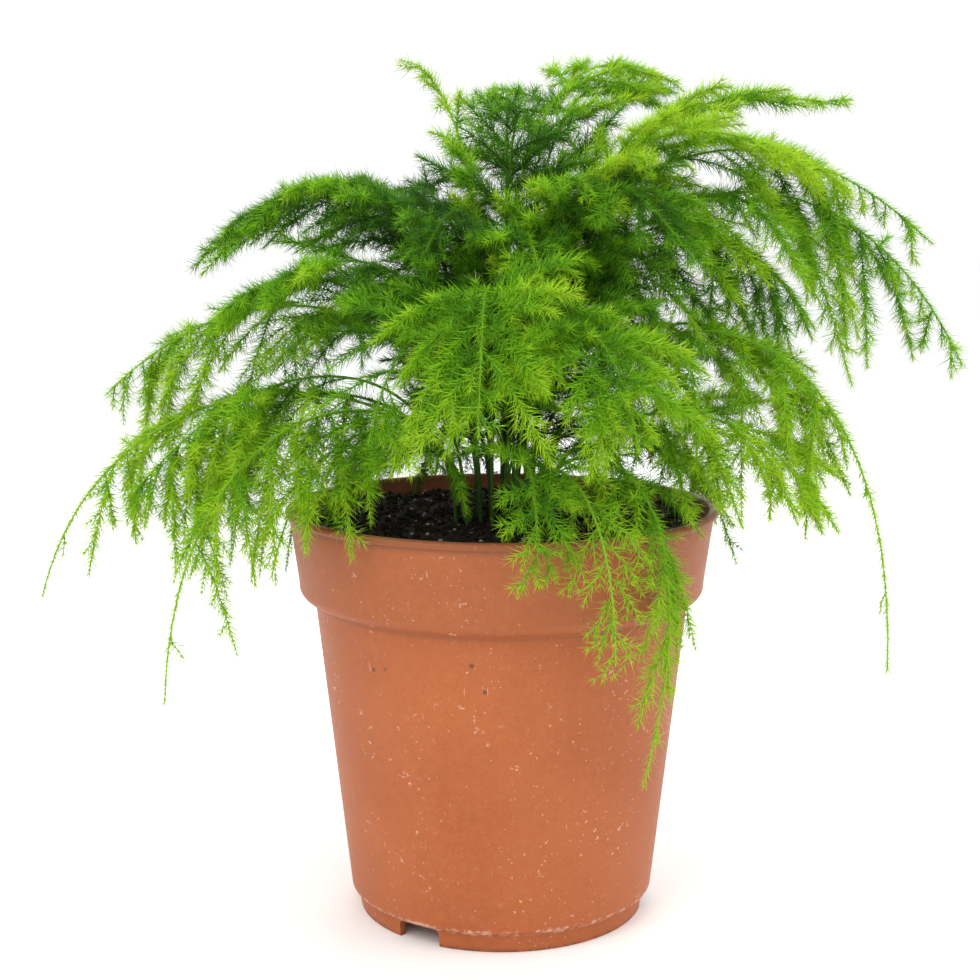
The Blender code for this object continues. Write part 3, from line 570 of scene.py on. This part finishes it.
# Headings are in degrees. The tip and the bow are heights over the crown's base. Shoulder, bare and trail
# are shares: of the reach, of the stem, and of its leafy part. Side is the length of the first side spray,
# and end_needle that of the needles on a thin trailing end.
# Tone sets a frond's green from dark to lime: partly its own colour, partly painted light and shade for where
# it lies in the plant.
FROND_ROWS = (
    ("new_shoot", 190, 27, 128, 126, 0.50, 0, 0.50, 22, 3, 0.92, 1.0, 1.0, 4.0),
    ("centre_tuft", 84, 24, 116, 130, 0.40, 0, 0.50, 27, 4, 0.42, 1.0, 1.4, 4.0),
    ("top_right_far", 13, 97, 118, 128, 0.42, 8, 0.42, 39, 5, 0.78, 0.90, 1.0, 4.0),
    ("top_right_near", 40, 64, 126, 141, 0.30, 0, 0.42, 34, 4, 0.80, 1.0, 1.0, 4.0),
    ("right_lime", 343, 93, 94, 130, 0.45, 0, 0.40, 39, 5, 0.95, 1.0, 1.0, 4.0),
    ("right_arch_high", 0, 117, 80, 131, 0.55, 6, 0.38, 41, 5, 0.70, 0.90, 1.1, 4.0),
    ("right_arch_long", 354, 124, 48, 126, 0.70, 0, 0.36, 42, 5, 0.68, 0.86, 1.1, 4.0),
    ("upper_left_dark", 176, 83, 76, 112, 0.45, 0, 0.36, 41, 5, 0.48, 1.0, 1.0, 4.0),
    ("upper_left_top", 188, 74, 84, 114, 0.42, 0, 0.40, 34, 4, 0.52, 1.0, 1.1, 4.0),
    ("upper_left_low", 204, 82, 58, 94, 0.50, 0, 0.36, 37, 4, 0.62, 1.0, 1.3, 4.0),
    ("left_mid", 185, 107, 40, 82, 0.60, 0, 0.40, 41, 5, 0.80, 1.0, 0.85, 4.0),
    ("left_bare_stem", 201, 104, 14, 63, 0.62, 0, 0.50, 36, 4, 0.74, 1.0, 0.9, 4.0),
    ("left_long", 193, 125, -12, 62, 0.85, 8, 0.36, 37, 5, 0.93, 0.80, 0.9, 3.2),
    ("left_hang", 216, 104, -32, 60, 0.95, 0, 0.34, 34, 5, 0.92, 0.78, 0.85, 3.0),
    ("left_front", 222, 78, -2, 48, 0.85, 0, 0.34, 32, 4, 0.78, 0.70, 0.85, 3.0),
    ("front_left", 245, 76, 34, 76, 0.75, 0, 0.36, 37, 4, 0.64, 1.0, 0.95, 4.0),
    ("front_centre", 266, 84, 38, 92, 0.75, 0, 0.36, 41, 5, 0.74, 1.0, 1.0, 4.0),
    ("front_right", 292, 84, 34, 80, 0.75, 0, 0.36, 41, 5, 0.74, 1.0, 1.0, 4.0),
    ("front_hang", 277, 68, 4, 40, 1.00, 0, 0.42, 22, 3, 0.74, 1.0, 0.9, 4.0),
    ("rim_right", 291, 76, -19, 36, 0.98, 0, 0.42, 21, 3, 0.95, 1.0, 0.6, 4.0),
    ("rim_right_long", 303, 66, -55, 44, 1.30, 14, 0.42, 24, 4, 0.95, 0.76, 0.7, 3.6),
    ("right_low", 332, 90, 12, 50, 0.85, 0, 0.34, 37, 4, 0.86, 1.0, 1.25, 4.0),
    ("right_hang_long", 342, 107, -31, 90, 1.00, 0, 0.34, 35, 5, 0.90, 0.56, 0.9, 4.2),
    ("right_hang", 357, 88, 8, 84, 0.90, 0, 0.34, 37, 4, 0.92, 1.0, 0.95, 4.0),
    ("star_high", 302, 44, 92, 108, 0.50, 0, 0.50, 24, 3, 0.70, 1.0, 1.0, 4.0),
    ("star_mid", 282, 50, 66, 101, 0.45, 0, 0.48, 27, 3, 0.70, 1.0, 1.0, 4.0),
    ("star_left", 246, 48, 78, 104, 0.45, 0, 0.46, 27, 3, 0.40, 1.0, 1.0, 4.0),
    ("star_right", 321, 62, 76, 118, 0.45, 0, 0.42, 32, 4, 0.52, 1.0, 1.1, 4.0),
    ("star_top", 284, 30, 110, 126, 0.40, 0, 0.48, 27, 3, 0.40, 1.0, 1.1, 4.0),
    ("back_right", 22, 100, 54, 110, 0.60, 0, 0.36, 38, 5, 0.56, 1.0, 1.1, 4.0),
    ("back_right_low", 48, 94, -6, 58, 0.85, 0, 0.34, 37, 3, 0.50, 1.0, 0.85, 4.0),
    ("back_high", 56, 80, 120, 137, 0.40, 0, 0.40, 37, 3, 0.50, 1.0, 1.3, 4.0),
    ("back_mid", 88, 86, 30, 84, 0.70, 0, 0.36, 38, 5, 0.46, 1.0, 0.8, 4.0),
    ("back_hang", 106, 82, -30, 52, 0.95, 0, 0.34, 32, 4, 0.52, 1.0, 0.8, 4.0),
    ("back_left_high", 122, 88, 76, 117, 0.50, 0, 0.38, 39, 4, 0.46, 1.0, 1.0, 4.0),
    ("back_left", 138, 96, 38, 82, 0.65, 0, 0.36, 39, 5, 0.52, 1.0, 0.8, 4.0),
    ("back_left_low", 159, 98, -2, 54, 0.85, 0, 0.34, 37, 3, 0.70, 1.0, 0.8, 4.0),
)

CROWN_BASE = 107.0
CROWN_RISE = 1.5
CROWN_HEIGHT = 150.0
HEART_RADIUS = 52.0
HEART_START = 30.0
ROOT_DEPTH = 12.0
ROOT_SPACING = 3.9
FIRST_ROOTS = 3.0
CLUMP_WIDTH = 10.0
LAST_SPRAY = 0.90
SPRAY_SPREAD = 56.0
SPRAY_CLOSING = 22.0
SPRAY_SHORTENING = 0.62
FROND_ROLL = 26.0
ROLL_EASING = 0.8
LEAST_SAG = 0.14
LOW_FROND_SAG = 0.34
SHORTEST_SPRAY = 6.0
STEM_END = 0.985
HIGHEST_TIP = 130.0
SPRAYS_BETWEEN = 6
TRAILING = 0.85
LONG_REACH = 100
STEM_NEEDLE = 4.4
SPRAY_NEEDLE = 5.5
WHORL_SPACING = 1.0
NEEDLE_THICKNESS = 0.12
SHORTEST_NEEDLE = 1.2
PAIRS_IN_A_WHORL = 3
# The height that no side spray's end rises over: places across the plant, and the height at each
LEVEL_TOP = ((38.0, 60.0), (234.0, 228.0))
# Places on the plant's middle plane that light shows through, each as its place across, height and radius
LIGHT_GAPS = (
    (-40.0, 150.0, 11.5),
    (-53.0, 142.0, 7.5),
    (-66.0, 162.0, 5.8),
    (-55.0, 169.0, 3.5),
    (60.0, 207.0, 5.5),
    (-6.0, 125.0, 4.0),
)
UP = np.array([0.0, 0.0, 1.0])
FRONDS = [Frond(*row) for row in FROND_ROWS]


def unit(vector):
    """A vector's direction, as a vector of length one."""
    return vector / np.linalg.norm(vector)


def crowd_roots():
    """Where each stem leaves the soil: tall fronds inside, low ones outside, pushed apart."""
    tallest = max(frond.bow for frond in FRONDS)
    roots = []
    for frond in FRONDS:
        away = FIRST_ROOTS + CLUMP_WIDTH * (1.0 - frond.bow / tallest)
        roots.append(in_plan(frond.heading) * away)
    for _ in range(200):
        for first in range(len(roots)):
            for other in range(first + 1, len(roots)):
                apart = roots[other] - roots[first]
                gap = math.hypot(apart[0], apart[1])
                if gap < ROOT_SPACING:
                    push = apart / gap * (ROOT_SPACING - gap) / 2
                    roots[other] = roots[other] + push
                    roots[first] = roots[first] - push
    return roots


class Line:
    """The line of a stem, spray or twig, read by its length from the root."""

    def __init__(self, points, side):
        self.points = np.array(points)
        steps = np.linalg.norm(np.diff(self.points, axis=0), axis=1)
        self.marks = np.concatenate([[0.0], np.cumsum(steps)])
        self.length = self.marks[-1]
        self.side = side

    def at(self, mark):
        return np.array([np.interp(mark, self.marks, self.points[:, axis]) for axis in range(3)])

    def along(self, mark):
        return unit(self.at(min(mark + 1.5, self.length)) - self.at(max(mark - 1.5, 0.0)))

    def across(self, mark):
        along = self.along(mark)
        return unit(self.side - along * float(self.side @ along))


def stem_line(frond, root):
    """Straight up through the soil, then one smooth arch to the tip."""
    out = in_plan(frond.heading)
    across = in_plan(frond.heading + 90.0)
    start = root + UP * (CROWN_BASE + CROWN_RISE)
    rise = start + UP * (0.78 * frond.bow)
    over = out * (frond.shoulder * frond.reach) + across * frond.sway + UP * (CROWN_BASE + frond.bow)
    end = out * frond.reach + UP * (CROWN_BASE + frond.tip)
    points = [root + UP * (CROWN_BASE - ROOT_DEPTH)]
    for t in np.linspace(0.0, 1.0, 41):
        first_half = (1 - t) ** 3 * start + 3 * (1 - t) ** 2 * t * rise
        points.append(first_half + 3 * (1 - t) * t**2 * over + t**3 * end)
    return Line(points, across)


def in_light_gap(place):
    """Whether a place lies on one of the lines along which light shows through the plant from the front."""
    eye = np.array(CAMERA_PLACE)
    for x, z, radius in LIGHT_GAPS:
        way = unit(np.array([x, 0.0, z]) - eye)
        off = (place - eye) - way * float((place - eye) @ way)
        if math.hypot(off[0] * 0.75, off[2]) < radius:
            return True
    return False


def in_pot_wall(place):
    """Whether a place is in the pot's wall or lip, or under the soil's top."""
    away = math.hypot(place[0], place[1])
    if place[2] > POT_HEIGHT + 1.0 or away > LIP_RADIUS + 1.0:
        return False
    return away > COLLAR_FOOT_RADIUS - WALL - 1.0 or place[2] < SOIL_TOP + 2.0


class Skeleton:
    """All the lines of one frond, with the girth, tone, needle length and lean at each point."""

    def __init__(self):
        self.points = []
        self.edges = []
        self.facts = {"girth": [], "tone": [], "needle": [], "lean": [], "order": []}

    def draw(self, places, order, girths, tones, needles, leans):
        start = len(self.points)
        self.points += [tuple(place * MM) for place in places]
        count = len(places)
        self.edges += [(start + step, start + step + 1) for step in range(count - 1)]
        self.facts["girth"] += list(np.linspace(*girths, count) * MM)
        self.facts["tone"] += list(np.clip(np.linspace(*tones, count), 0.03, 0.95))
        self.facts["needle"] += list(np.interp(np.linspace(0, 1, count), *needles) * MM)
        self.facts["lean"] += list(np.radians(np.linspace(*leans, count)))
        self.facts["order"] += [float(order)] * count

    def as_object(self, name):
        mesh = bpy.data.meshes.new(name)
        mesh.from_pydata(self.points, self.edges, [])
        for fact, values in self.facts.items():
            mesh.attributes.new(fact, "FLOAT", "POINT").data.foreach_set("value", values)
        thing = bpy.data.objects.new(name, mesh)
        scene.collection.objects.link(thing)
        return thing


def stem_needles(frond):
    """Needle lengths along a stem: none on its bare foot, and short ones on a thin trailing end."""
    bare_end = frond.bare + 0.02
    leafy_start = frond.bare + 0.03
    if frond.trail >= TRAILING:
        return [0.0, bare_end, leafy_start, 1.0], [0.0, 0.0, STEM_NEEDLE, 2.8]
    thin_start = frond.bare + frond.trail * (LAST_SPRAY - frond.bare)
    marks = [0.0, bare_end, leafy_start, thin_start, thin_start + 0.08, 1.0]
    return marks, [0.0, 0.0, STEM_NEEDLE, STEM_NEEDLE, frond.end_needle, 0.75 * frond.end_needle]


def spray_ways(frond, stem, mark, share, roll, hand, between, draw):
    """The way in which a side spray leaves its stem, and the ways across and above the frond there."""
    along = stem.along(mark)
    left = stem.across(mark)
    above = np.cross(along, left)
    left, above = (
        left * math.cos(roll) + above * math.sin(roll),
        above * math.cos(roll) - left * math.sin(roll),
    )
    across = left * hand
    opening = draw.uniform(0.0, 22.0) if between else 0.0
    spread = math.radians(SPRAY_SPREAD - SPRAY_CLOSING * min(share, 1.2) + opening)
    loose = max(1.0 - share, 0.0) if between else 0.0
    hanging = 34.0 * share if frond.reach >= LONG_REACH else 0.0
    lowest = -14.0 - 34.0 * loose - hanging
    highest = 10.0 + 26.0 * loose - 0.5 * hanging
    lift = math.radians(draw.uniform(lowest, highest))
    level = along * math.cos(spread) + across * math.sin(spread)
    return level * math.cos(lift) + above * math.sin(lift), across, above


def spray_size(frond, share, between, draw):
    """A side spray's length and how far it sags, both less regular on the sprays between the main ones."""
    size = draw.uniform(0.78, 1.12) * frond.fullness**0.6 if between else 1.0
    droop = LEAST_SAG + LOW_FROND_SAG * (1.0 - frond.tip / HIGHEST_TIP)
    if between:
        heavy = frond.reach >= LONG_REACH or frond.tip < 0
        droop *= draw.uniform(1.0, 2.0) if heavy else draw.uniform(0.2, 1.0)
    shortening = SPRAY_SHORTENING * (0.75 if between else 1.0)
    length = max(frond.side * (1.0 - shortening * share**1.3) * size, SHORTEST_SPRAY)
    if between and frond.trail < TRAILING:
        length *= 1.0 - 0.5 * min(share / frond.trail, 1.0) ** 1.5
    if share > frond.trail:
        length = draw.uniform(2.0, 3.0) if frond.trail < TRAILING else draw.uniform(4.0, 9.0)
    return length, droop


def frond_lines(number, frond, root):
    """A frond's stem, side sprays and twigs, grown by the plant's rule from its row of numbers."""
    draw = random.Random(100 + number)
    stem = stem_line(frond, root)
    lines = Skeleton()
    steps = [stem.at(mark) for mark in np.linspace(0.0, stem.length, 46)]
    tones = (frond.tone - 0.4, frond.tone + 0.1)
    lines.draw(steps, 0, (0.58, 0.16), tones, stem_needles(frond), (54.0, 38.0))
    easing = 1.0 - ROLL_EASING * max(frond.tip, 0.0) / HIGHEST_TIP
    roll = math.radians(FROND_ROLL * easing * math.sin(2.4 * number))
    leafy = LAST_SPRAY - frond.bare
    spacing = leafy / (SPRAYS_BETWEEN * (frond.sprays - 1))
    for step in range(math.ceil((STEM_END - frond.bare) / spacing)):
        share = spacing * step / leafy
        mark = (frond.bare + spacing * step) * stem.length
        hand = 1.0 if (step // SPRAYS_BETWEEN + step % SPRAYS_BETWEEN) % 2 else -1.0
        between = step % SPRAYS_BETWEEN > 0
        tail = frond.trail < TRAILING and share > frond.trail
        heading, across, above = spray_ways(frond, stem, mark, share, roll, hand, between, draw)
        length, droop = spray_size(frond, share, between, draw)
        start = stem.at(mark)
        end = start + heading * length
        droop = max(droop, (end[2] - np.interp(end[0], *LEVEL_TOP)) / length)
        path = sagging(start, heading, length, droop, 7)
        thinned = tail or in_light_gap(path[3]) and draw.random() < 0.85
        if between and thinned:
            continue
        spray = Line(path, across)
        light = frond.tone + 0.04 + draw.uniform(-0.16, 0.12) + 0.12 * min(share, 1.0)
        # Painted shade: sprays deep in the heart of the plant take a darker tone
        light -= 0.45 * buried(path[3])
        full = 0.3 if tail else min(0.35 + length / 24.0, 1.0)
        needles = ([0.0, 0.06, 0.8, 1.0], [0.0, SPRAY_NEEDLE * full, 5.2 * full, 2.8 * full])
        lines.draw(path, 1, (0.26, 0.10), (light - 0.3, light + 0.18), needles, (60.0, 36.0))
        grow_twigs(lines, spray, above, light, draw)
    close_heart(lines, stem, frond, draw)
    return lines


def sagging(start, heading, length, droop, count):
    """Points along a spray that leaves its start straight and bends down under its own weight."""
    reach = heading * length
    return [start + reach * t - UP * droop * length * t**2 for t in np.linspace(0.0, 1.0, count)]


def close_heart(lines, stem, frond, draw):
    """Short sprays all round the lower stem, which close the heart of the plant, dark with painted shade."""
    mark = HEART_START
    while mark < frond.bare * stem.length:
        start = stem.at(mark)
        mark += draw.uniform(4.5, 7.0)
        along = stem.along(mark)
        turn = draw.uniform(0.0, math.tau)
        side = stem.across(mark)
        out = side * math.cos(turn) + np.cross(along, side) * math.sin(turn)
        if start[2] < CROWN_BASE + (20.0 if out[1] > 0.3 or out[0] > 0.6 else 42.0):
            continue
        spread = math.radians(draw.uniform(48.0, 80.0))
        way = along * math.cos(spread) + out * math.sin(spread)
        path = sagging(start, way, draw.uniform(18.0, 30.0), 0.25, 5)
        if in_light_gap(path[2]):
            continue
        # Painted shade: a dark tone for the shaded heart of the plant
        shade = 0.5 * frond.tone - 0.1 + draw.uniform(-0.06, 0.06)
        needles = ([0.0, 0.06, 0.8, 1.0], [0.0, 5.4, 5.2, 3.0])
        lines.draw(path, 1, (0.24, 0.12), (shade - 0.05, shade + 0.1), needles, (62.0, 36.0))


def buried(place):
    """How deep a place lies in the heart of the plant, from 0 to 1."""
    away = np.linalg.norm(place - UP * CROWN_HEIGHT)
    return math.exp(-((away / HEART_RADIUS) ** 2))


def grow_twigs(lines, spray, above, light, draw):
    """Twigs by turns to the left and right of a spray, shorter towards its tip."""
    mark = 2.5
    hand = 1.0
    while mark < spray.length * 0.84:
        share = mark / spray.length
        along = spray.along(mark)
        beside = unit(np.cross(above, along)) * hand
        spread = math.radians(draw.uniform(36.0, 54.0))
        lift = math.radians(draw.uniform(-30.0, 30.0))
        way = along * math.cos(spread) + beside * math.sin(spread)
        way = way * math.cos(lift) + above * math.sin(lift)
        length = (2.6 + 0.15 * spray.length * (1.0 - share)) * draw.uniform(0.75, 1.15)
        start = spray.at(mark)
        path = [start, start + (way + along * 0.14) * length]
        hidden = in_pot_wall(path[1]) or in_pot_wall((path[0] + path[1]) / 2)
        if not hidden and not in_light_gap(path[1]):
            shade = light + draw.uniform(-0.22, 0.10) + 0.16 * share - 0.06
            tones = (shade - 0.12, shade + 0.14)
            lines.draw(path, 2, (0.15, 0.08), tones, ([0.0, 1.0], [5.0, 3.4]), (62.0, 38.0))
        mark += draw.uniform(3.2, 5.2)
        hand = -hand


def frond_tree():
    """Turns a frond's lines into tubes, and sets whorls of needles along them."""
    inputs = {
        "Whorl spacing": "Float",
        "Pairs in a whorl": "Int",
        "Needle pair": "Object",
        "Needle thickness": "Float",
        "Seed": "Int",
        "Needle finish": "Material",
        "Stem finish": "Material",
    }
    tree, sheet, wanted = open_tree("lace_frond", inputs)

    def fact(name):
        return sheet.add("GeometryNodeInputNamedAttribute", {"data_type": "FLOAT"}, {"Name": name})

    def chance(low, high, seed):
        sockets = {2: low, 3: high, 8: wanted["Seed"] + seed}
        return sheet.add("FunctionNodeRandomValue", {"data_type": "FLOAT"}, sockets, 1)

    def keep(shape, name, value, kind="FLOAT", domain="POINT"):
        settings = {"data_type": kind, "domain": domain}
        sockets = {0: shape, "Name": name, "Value": value}
        return sheet.add("GeometryNodeStoreNamedAttribute", settings, sockets)

    def bake_place(shape, height):
        place = sheet.add("ShaderNodeCombineXYZ", None, {0: fact("tone"), 1: height, 2: 0.0})
        return keep(shape, "OFBake", place, "FLOAT2", "CORNER")

    curves = sheet.add("GeometryNodeMeshToCurve", None, {0: wanted["Geometry"]})

    # The woody parts: six-sided stems and three-sided sprays and twigs, closed at both ends
    def tubes(which, sides):
        ring = sheet.add("GeometryNodeCurvePrimitiveCircle", None, {"Resolution": sides, "Radius": 1.0})
        turn = sheet.add("GeometryNodeInputIndex") * (math.tau / sides)
        ring = keep(ring, "edge", sheet.add("ShaderNodeMath", {"operation": "COSINE"}, {0: turn}))
        ring = keep(ring, "round", sheet.add("ShaderNodeMath", {"operation": "SINE"}, {0: turn}))
        sockets = {"Curve": which, "Profile Curve": ring, "Scale": fact("girth"), "Fill Caps": True}
        tube = sheet.add("GeometryNodeCurveToMesh", None, sockets)
        tube = keep(tube, "tone", fact("tone") + fact("edge") * 0.012)
        return bake_place(tube, 0.88 + fact("round") * 0.1)

    thick = sheet.add("FunctionNodeCompare", {"operation": "LESS_THAN"}, {0: fact("order"), 1: 0.5})
    split = tree.nodes.new("GeometryNodeSeparateGeometry")
    split.domain = "CURVE"
    sheet.feed(split.inputs[0], curves)
    sheet.feed(split.inputs[1], thick)
    joint = tree.nodes.new("GeometryNodeJoinGeometry")
    tree.links.new(tubes(Socket(sheet, split.outputs[0]), 6).plug, joint.inputs[0])
    tree.links.new(tubes(Socket(sheet, split.outputs[1]), 3).plug, joint.inputs[0])
    sockets = {0: Socket(sheet, joint.outputs[0]), 2: wanted["Stem finish"]}
    wood = sheet.add("GeometryNodeSetMaterial", None, sockets)

    # The needles: thin pairs that lean forward round each whorl, each a little different
    whorls = tree.nodes.new("GeometryNodeCurveToPoints")
    whorls.mode = "LENGTH"
    sheet.feed(whorls.inputs["Curve"], curves)
    sheet.feed(whorls.inputs["Length"], wanted["Whorl spacing"])
    facing = Socket(sheet, whorls.outputs["Rotation"])
    points = keep(Socket(sheet, whorls.outputs["Points"]), "facing", facing, "QUATERNION")
    sockets = {0: fact("needle"), 1: SHORTEST_NEEDLE * MM}
    long_enough = sheet.add("FunctionNodeCompare", {"operation": "GREATER_THAN"}, sockets)
    points = sheet.add("GeometryNodeSeparateGeometry", {"domain": "POINT"}, {0: points, 1: long_enough})
    points = keep(points, "start_turn", chance(0.0, math.tau, 1))
    copies = tree.nodes.new("GeometryNodeDuplicateElements")
    copies.domain = "POINT"
    sheet.feed(copies.inputs["Geometry"], points)
    sheet.feed(copies.inputs["Amount"], wanted["Pairs in a whorl"])
    number = Socket(sheet, copies.outputs["Duplicate Index"])
    each = Socket(sheet, copies.outputs["Geometry"])
    turn = fact("start_turn") + number * math.pi / wanted["Pairs in a whorl"] + chance(-0.35, 0.35, 2)
    lean = fact("lean") + chance(-0.2, 0.2, 3)
    tilt = sheet.add("ShaderNodeCombineXYZ", None, {0: chance(-0.3, 0.3, 6), 1: 0.0, 2: turn})
    tilt = sheet.add("FunctionNodeEulerToRotation", None, {0: tilt})
    facing = sheet.add("GeometryNodeInputNamedAttribute", {"data_type": "QUATERNION"}, {"Name": "facing"})
    heading = sheet.add("FunctionNodeRotateRotation", {"rotation_space": "LOCAL"}, {0: facing, 1: tilt})
    length = fact("needle") * chance(0.72, 1.15, 4)
    out_share = sheet.add("ShaderNodeMath", {"operation": "SINE"}, {0: lean})
    on_share = sheet.add("ShaderNodeMath", {"operation": "COSINE"}, {0: lean})
    sockets = {0: wanted["Needle thickness"], 1: length * out_share, 2: length * on_share}
    size = sheet.add("ShaderNodeCombineXYZ", None, sockets)
    each = keep(each, "tone", fact("tone") + chance(-0.07, 0.07, 5))
    pair = sheet.add("GeometryNodeObjectInfo", None, {"Object": wanted["Needle pair"]}, "Geometry")
    sockets = {"Points": each, "Instance": pair, "Rotation": heading, "Scale": size}
    needles = sheet.add("GeometryNodeInstanceOnPoints", None, sockets)
    needles = sheet.add("GeometryNodeRealizeInstances", None, {0: needles})
    needles = keep(needles, "tone", fact("tone") + fact("edge") * 0.012)
    needles = bake_place(needles, 0.04 + fact("reach") * 0.7)
    needles = sheet.add("GeometryNodeSetMaterial", None, {0: needles, 2: wanted["Needle finish"]})

    whole = tree.nodes.new("GeometryNodeJoinGeometry")
    tree.links.new(wood.plug, whole.inputs[0])
    tree.links.new(needles.plug, whole.inputs[0])
    smooth = sheet.add("GeometryNodeSetShadeSmooth", None, {0: Socket(sheet, whole.outputs[0])})
    out = tree.nodes.new("NodeGroupOutput")
    sheet.feed(out.inputs[0], smooth)
    return tree


def needle_pair():
    """Two needles that lean forward from one waist, as a single closed body of unit length and width."""
    mesh = bpy.data.meshes.new("needle_pair")
    waist = [(-1.0, 0.0, -0.03), (1.0, 0.0, -0.03), (0.2, 0.0, 0.06)]
    tips = [(0.0, 1.0, 1.0), (0.0, -1.0, 1.0)]
    faces = [(1, 0, 3), (2, 1, 3), (0, 2, 3), (0, 1, 4), (1, 2, 4), (2, 0, 4)]
    mesh.from_pydata(waist + tips, [], faces)
    mesh.attributes.new("reach", "FLOAT", "POINT").data.foreach_set("value", [0.0, 0.0, 0.02, 1.0, 1.0])
    mesh.attributes.new("edge", "FLOAT", "POINT").data.foreach_set("value", [-1.0, 1.0, 0.3, 0.0, 0.0])
    thing = bpy.data.objects.new("needle_pair", mesh)
    scene.collection.objects.link(thing)
    return thing


def needle_green():
    """Needle green by tone, from the dark inside of the plant, partly painted shade, to its lime tips;
    painted shade darkens each needle's base, and each point is paler.
    """
    material, sheet, surface = new_finish("needle_green", 0.6, 0.12)
    tone = sheet.add("ShaderNodeAttribute", {"attribute_name": "tone"}, None, "Fac")
    reach = sheet.add("ShaderNodeAttribute", {"attribute_name": "reach"}, None, "Fac")
    stops = [
        (0.0, (0.016, 0.055, 0.007)),
        (0.25, (0.044, 0.150, 0.010)),
        (0.5, (0.120, 0.370, 0.010)),
        (0.75, (0.310, 0.720, 0.012)),
        (1.0, (0.600, 0.920, 0.030)),
    ]
    colour = sheet.add("ShaderNodeValToRGB", {"stops": stops}, {0: tone})
    # Painted shade: each needle darker towards its base at the stem
    colour = sheet.blend((1.0 - reach) * 0.45, colour, (0.016, 0.080, 0.005))
    tip = sheet.clamp(reach, 0.55, 1.0) * sheet.clamp(tone, 0.45, 0.9) * 0.3
    colour = sheet.blend(tip, colour, (0.60, 0.78, 0.03))
    sheet.feed(surface.inputs["Base Color"], colour)
    return material


def stem_green():
    """Wiry green bark: brown-green on the old dark stems, fresh green on new sprays, darker where the tone
    holds painted shade.
    """
    material, sheet, surface = new_finish("stem_green", 0.55, 0.2)
    tone = sheet.add("ShaderNodeAttribute", {"attribute_name": "tone"}, None, "Fac")
    stops = [
        (0.0, (0.030, 0.040, 0.013)),
        (0.3, (0.036, 0.085, 0.012)),
        (0.6, (0.080, 0.240, 0.016)),
        (1.0, (0.250, 0.480, 0.030)),
    ]
    colour = sheet.add("ShaderNodeValToRGB", {"stops": stops}, {0: tone})
    sheet.feed(surface.inputs["Base Color"], colour)
    return material


lace = frond_tree()
pair = needle_pair()
needle_finish = needle_green()
stem_finish = stem_green()
for number, (frond, root) in enumerate(zip(FRONDS, crowd_roots())):
    bones = frond_lines(number, frond, root).as_object("frond_lines")
    values = {
        "Whorl spacing": WHORL_SPACING * MM / frond.fullness,
        "Pairs in a whorl": PAIRS_IN_A_WHORL,
        "Needle pair": pair,
        "Needle thickness": NEEDLE_THICKNESS * MM,
        "Seed": 50 * number,
        "Needle finish": needle_finish,
        "Stem finish": stem_finish,
    }
    made = grow(bones, lace, values)
    bpy.data.objects.remove(bones)
    made.name = "lace_" + frond.name
    piece = bpy.data.objects.new("lace_" + frond.name, made)
    scene.collection.objects.link(piece)
    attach(piece, "root")
    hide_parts("frond_" + frond.name)
bpy.data.objects.remove(pair)
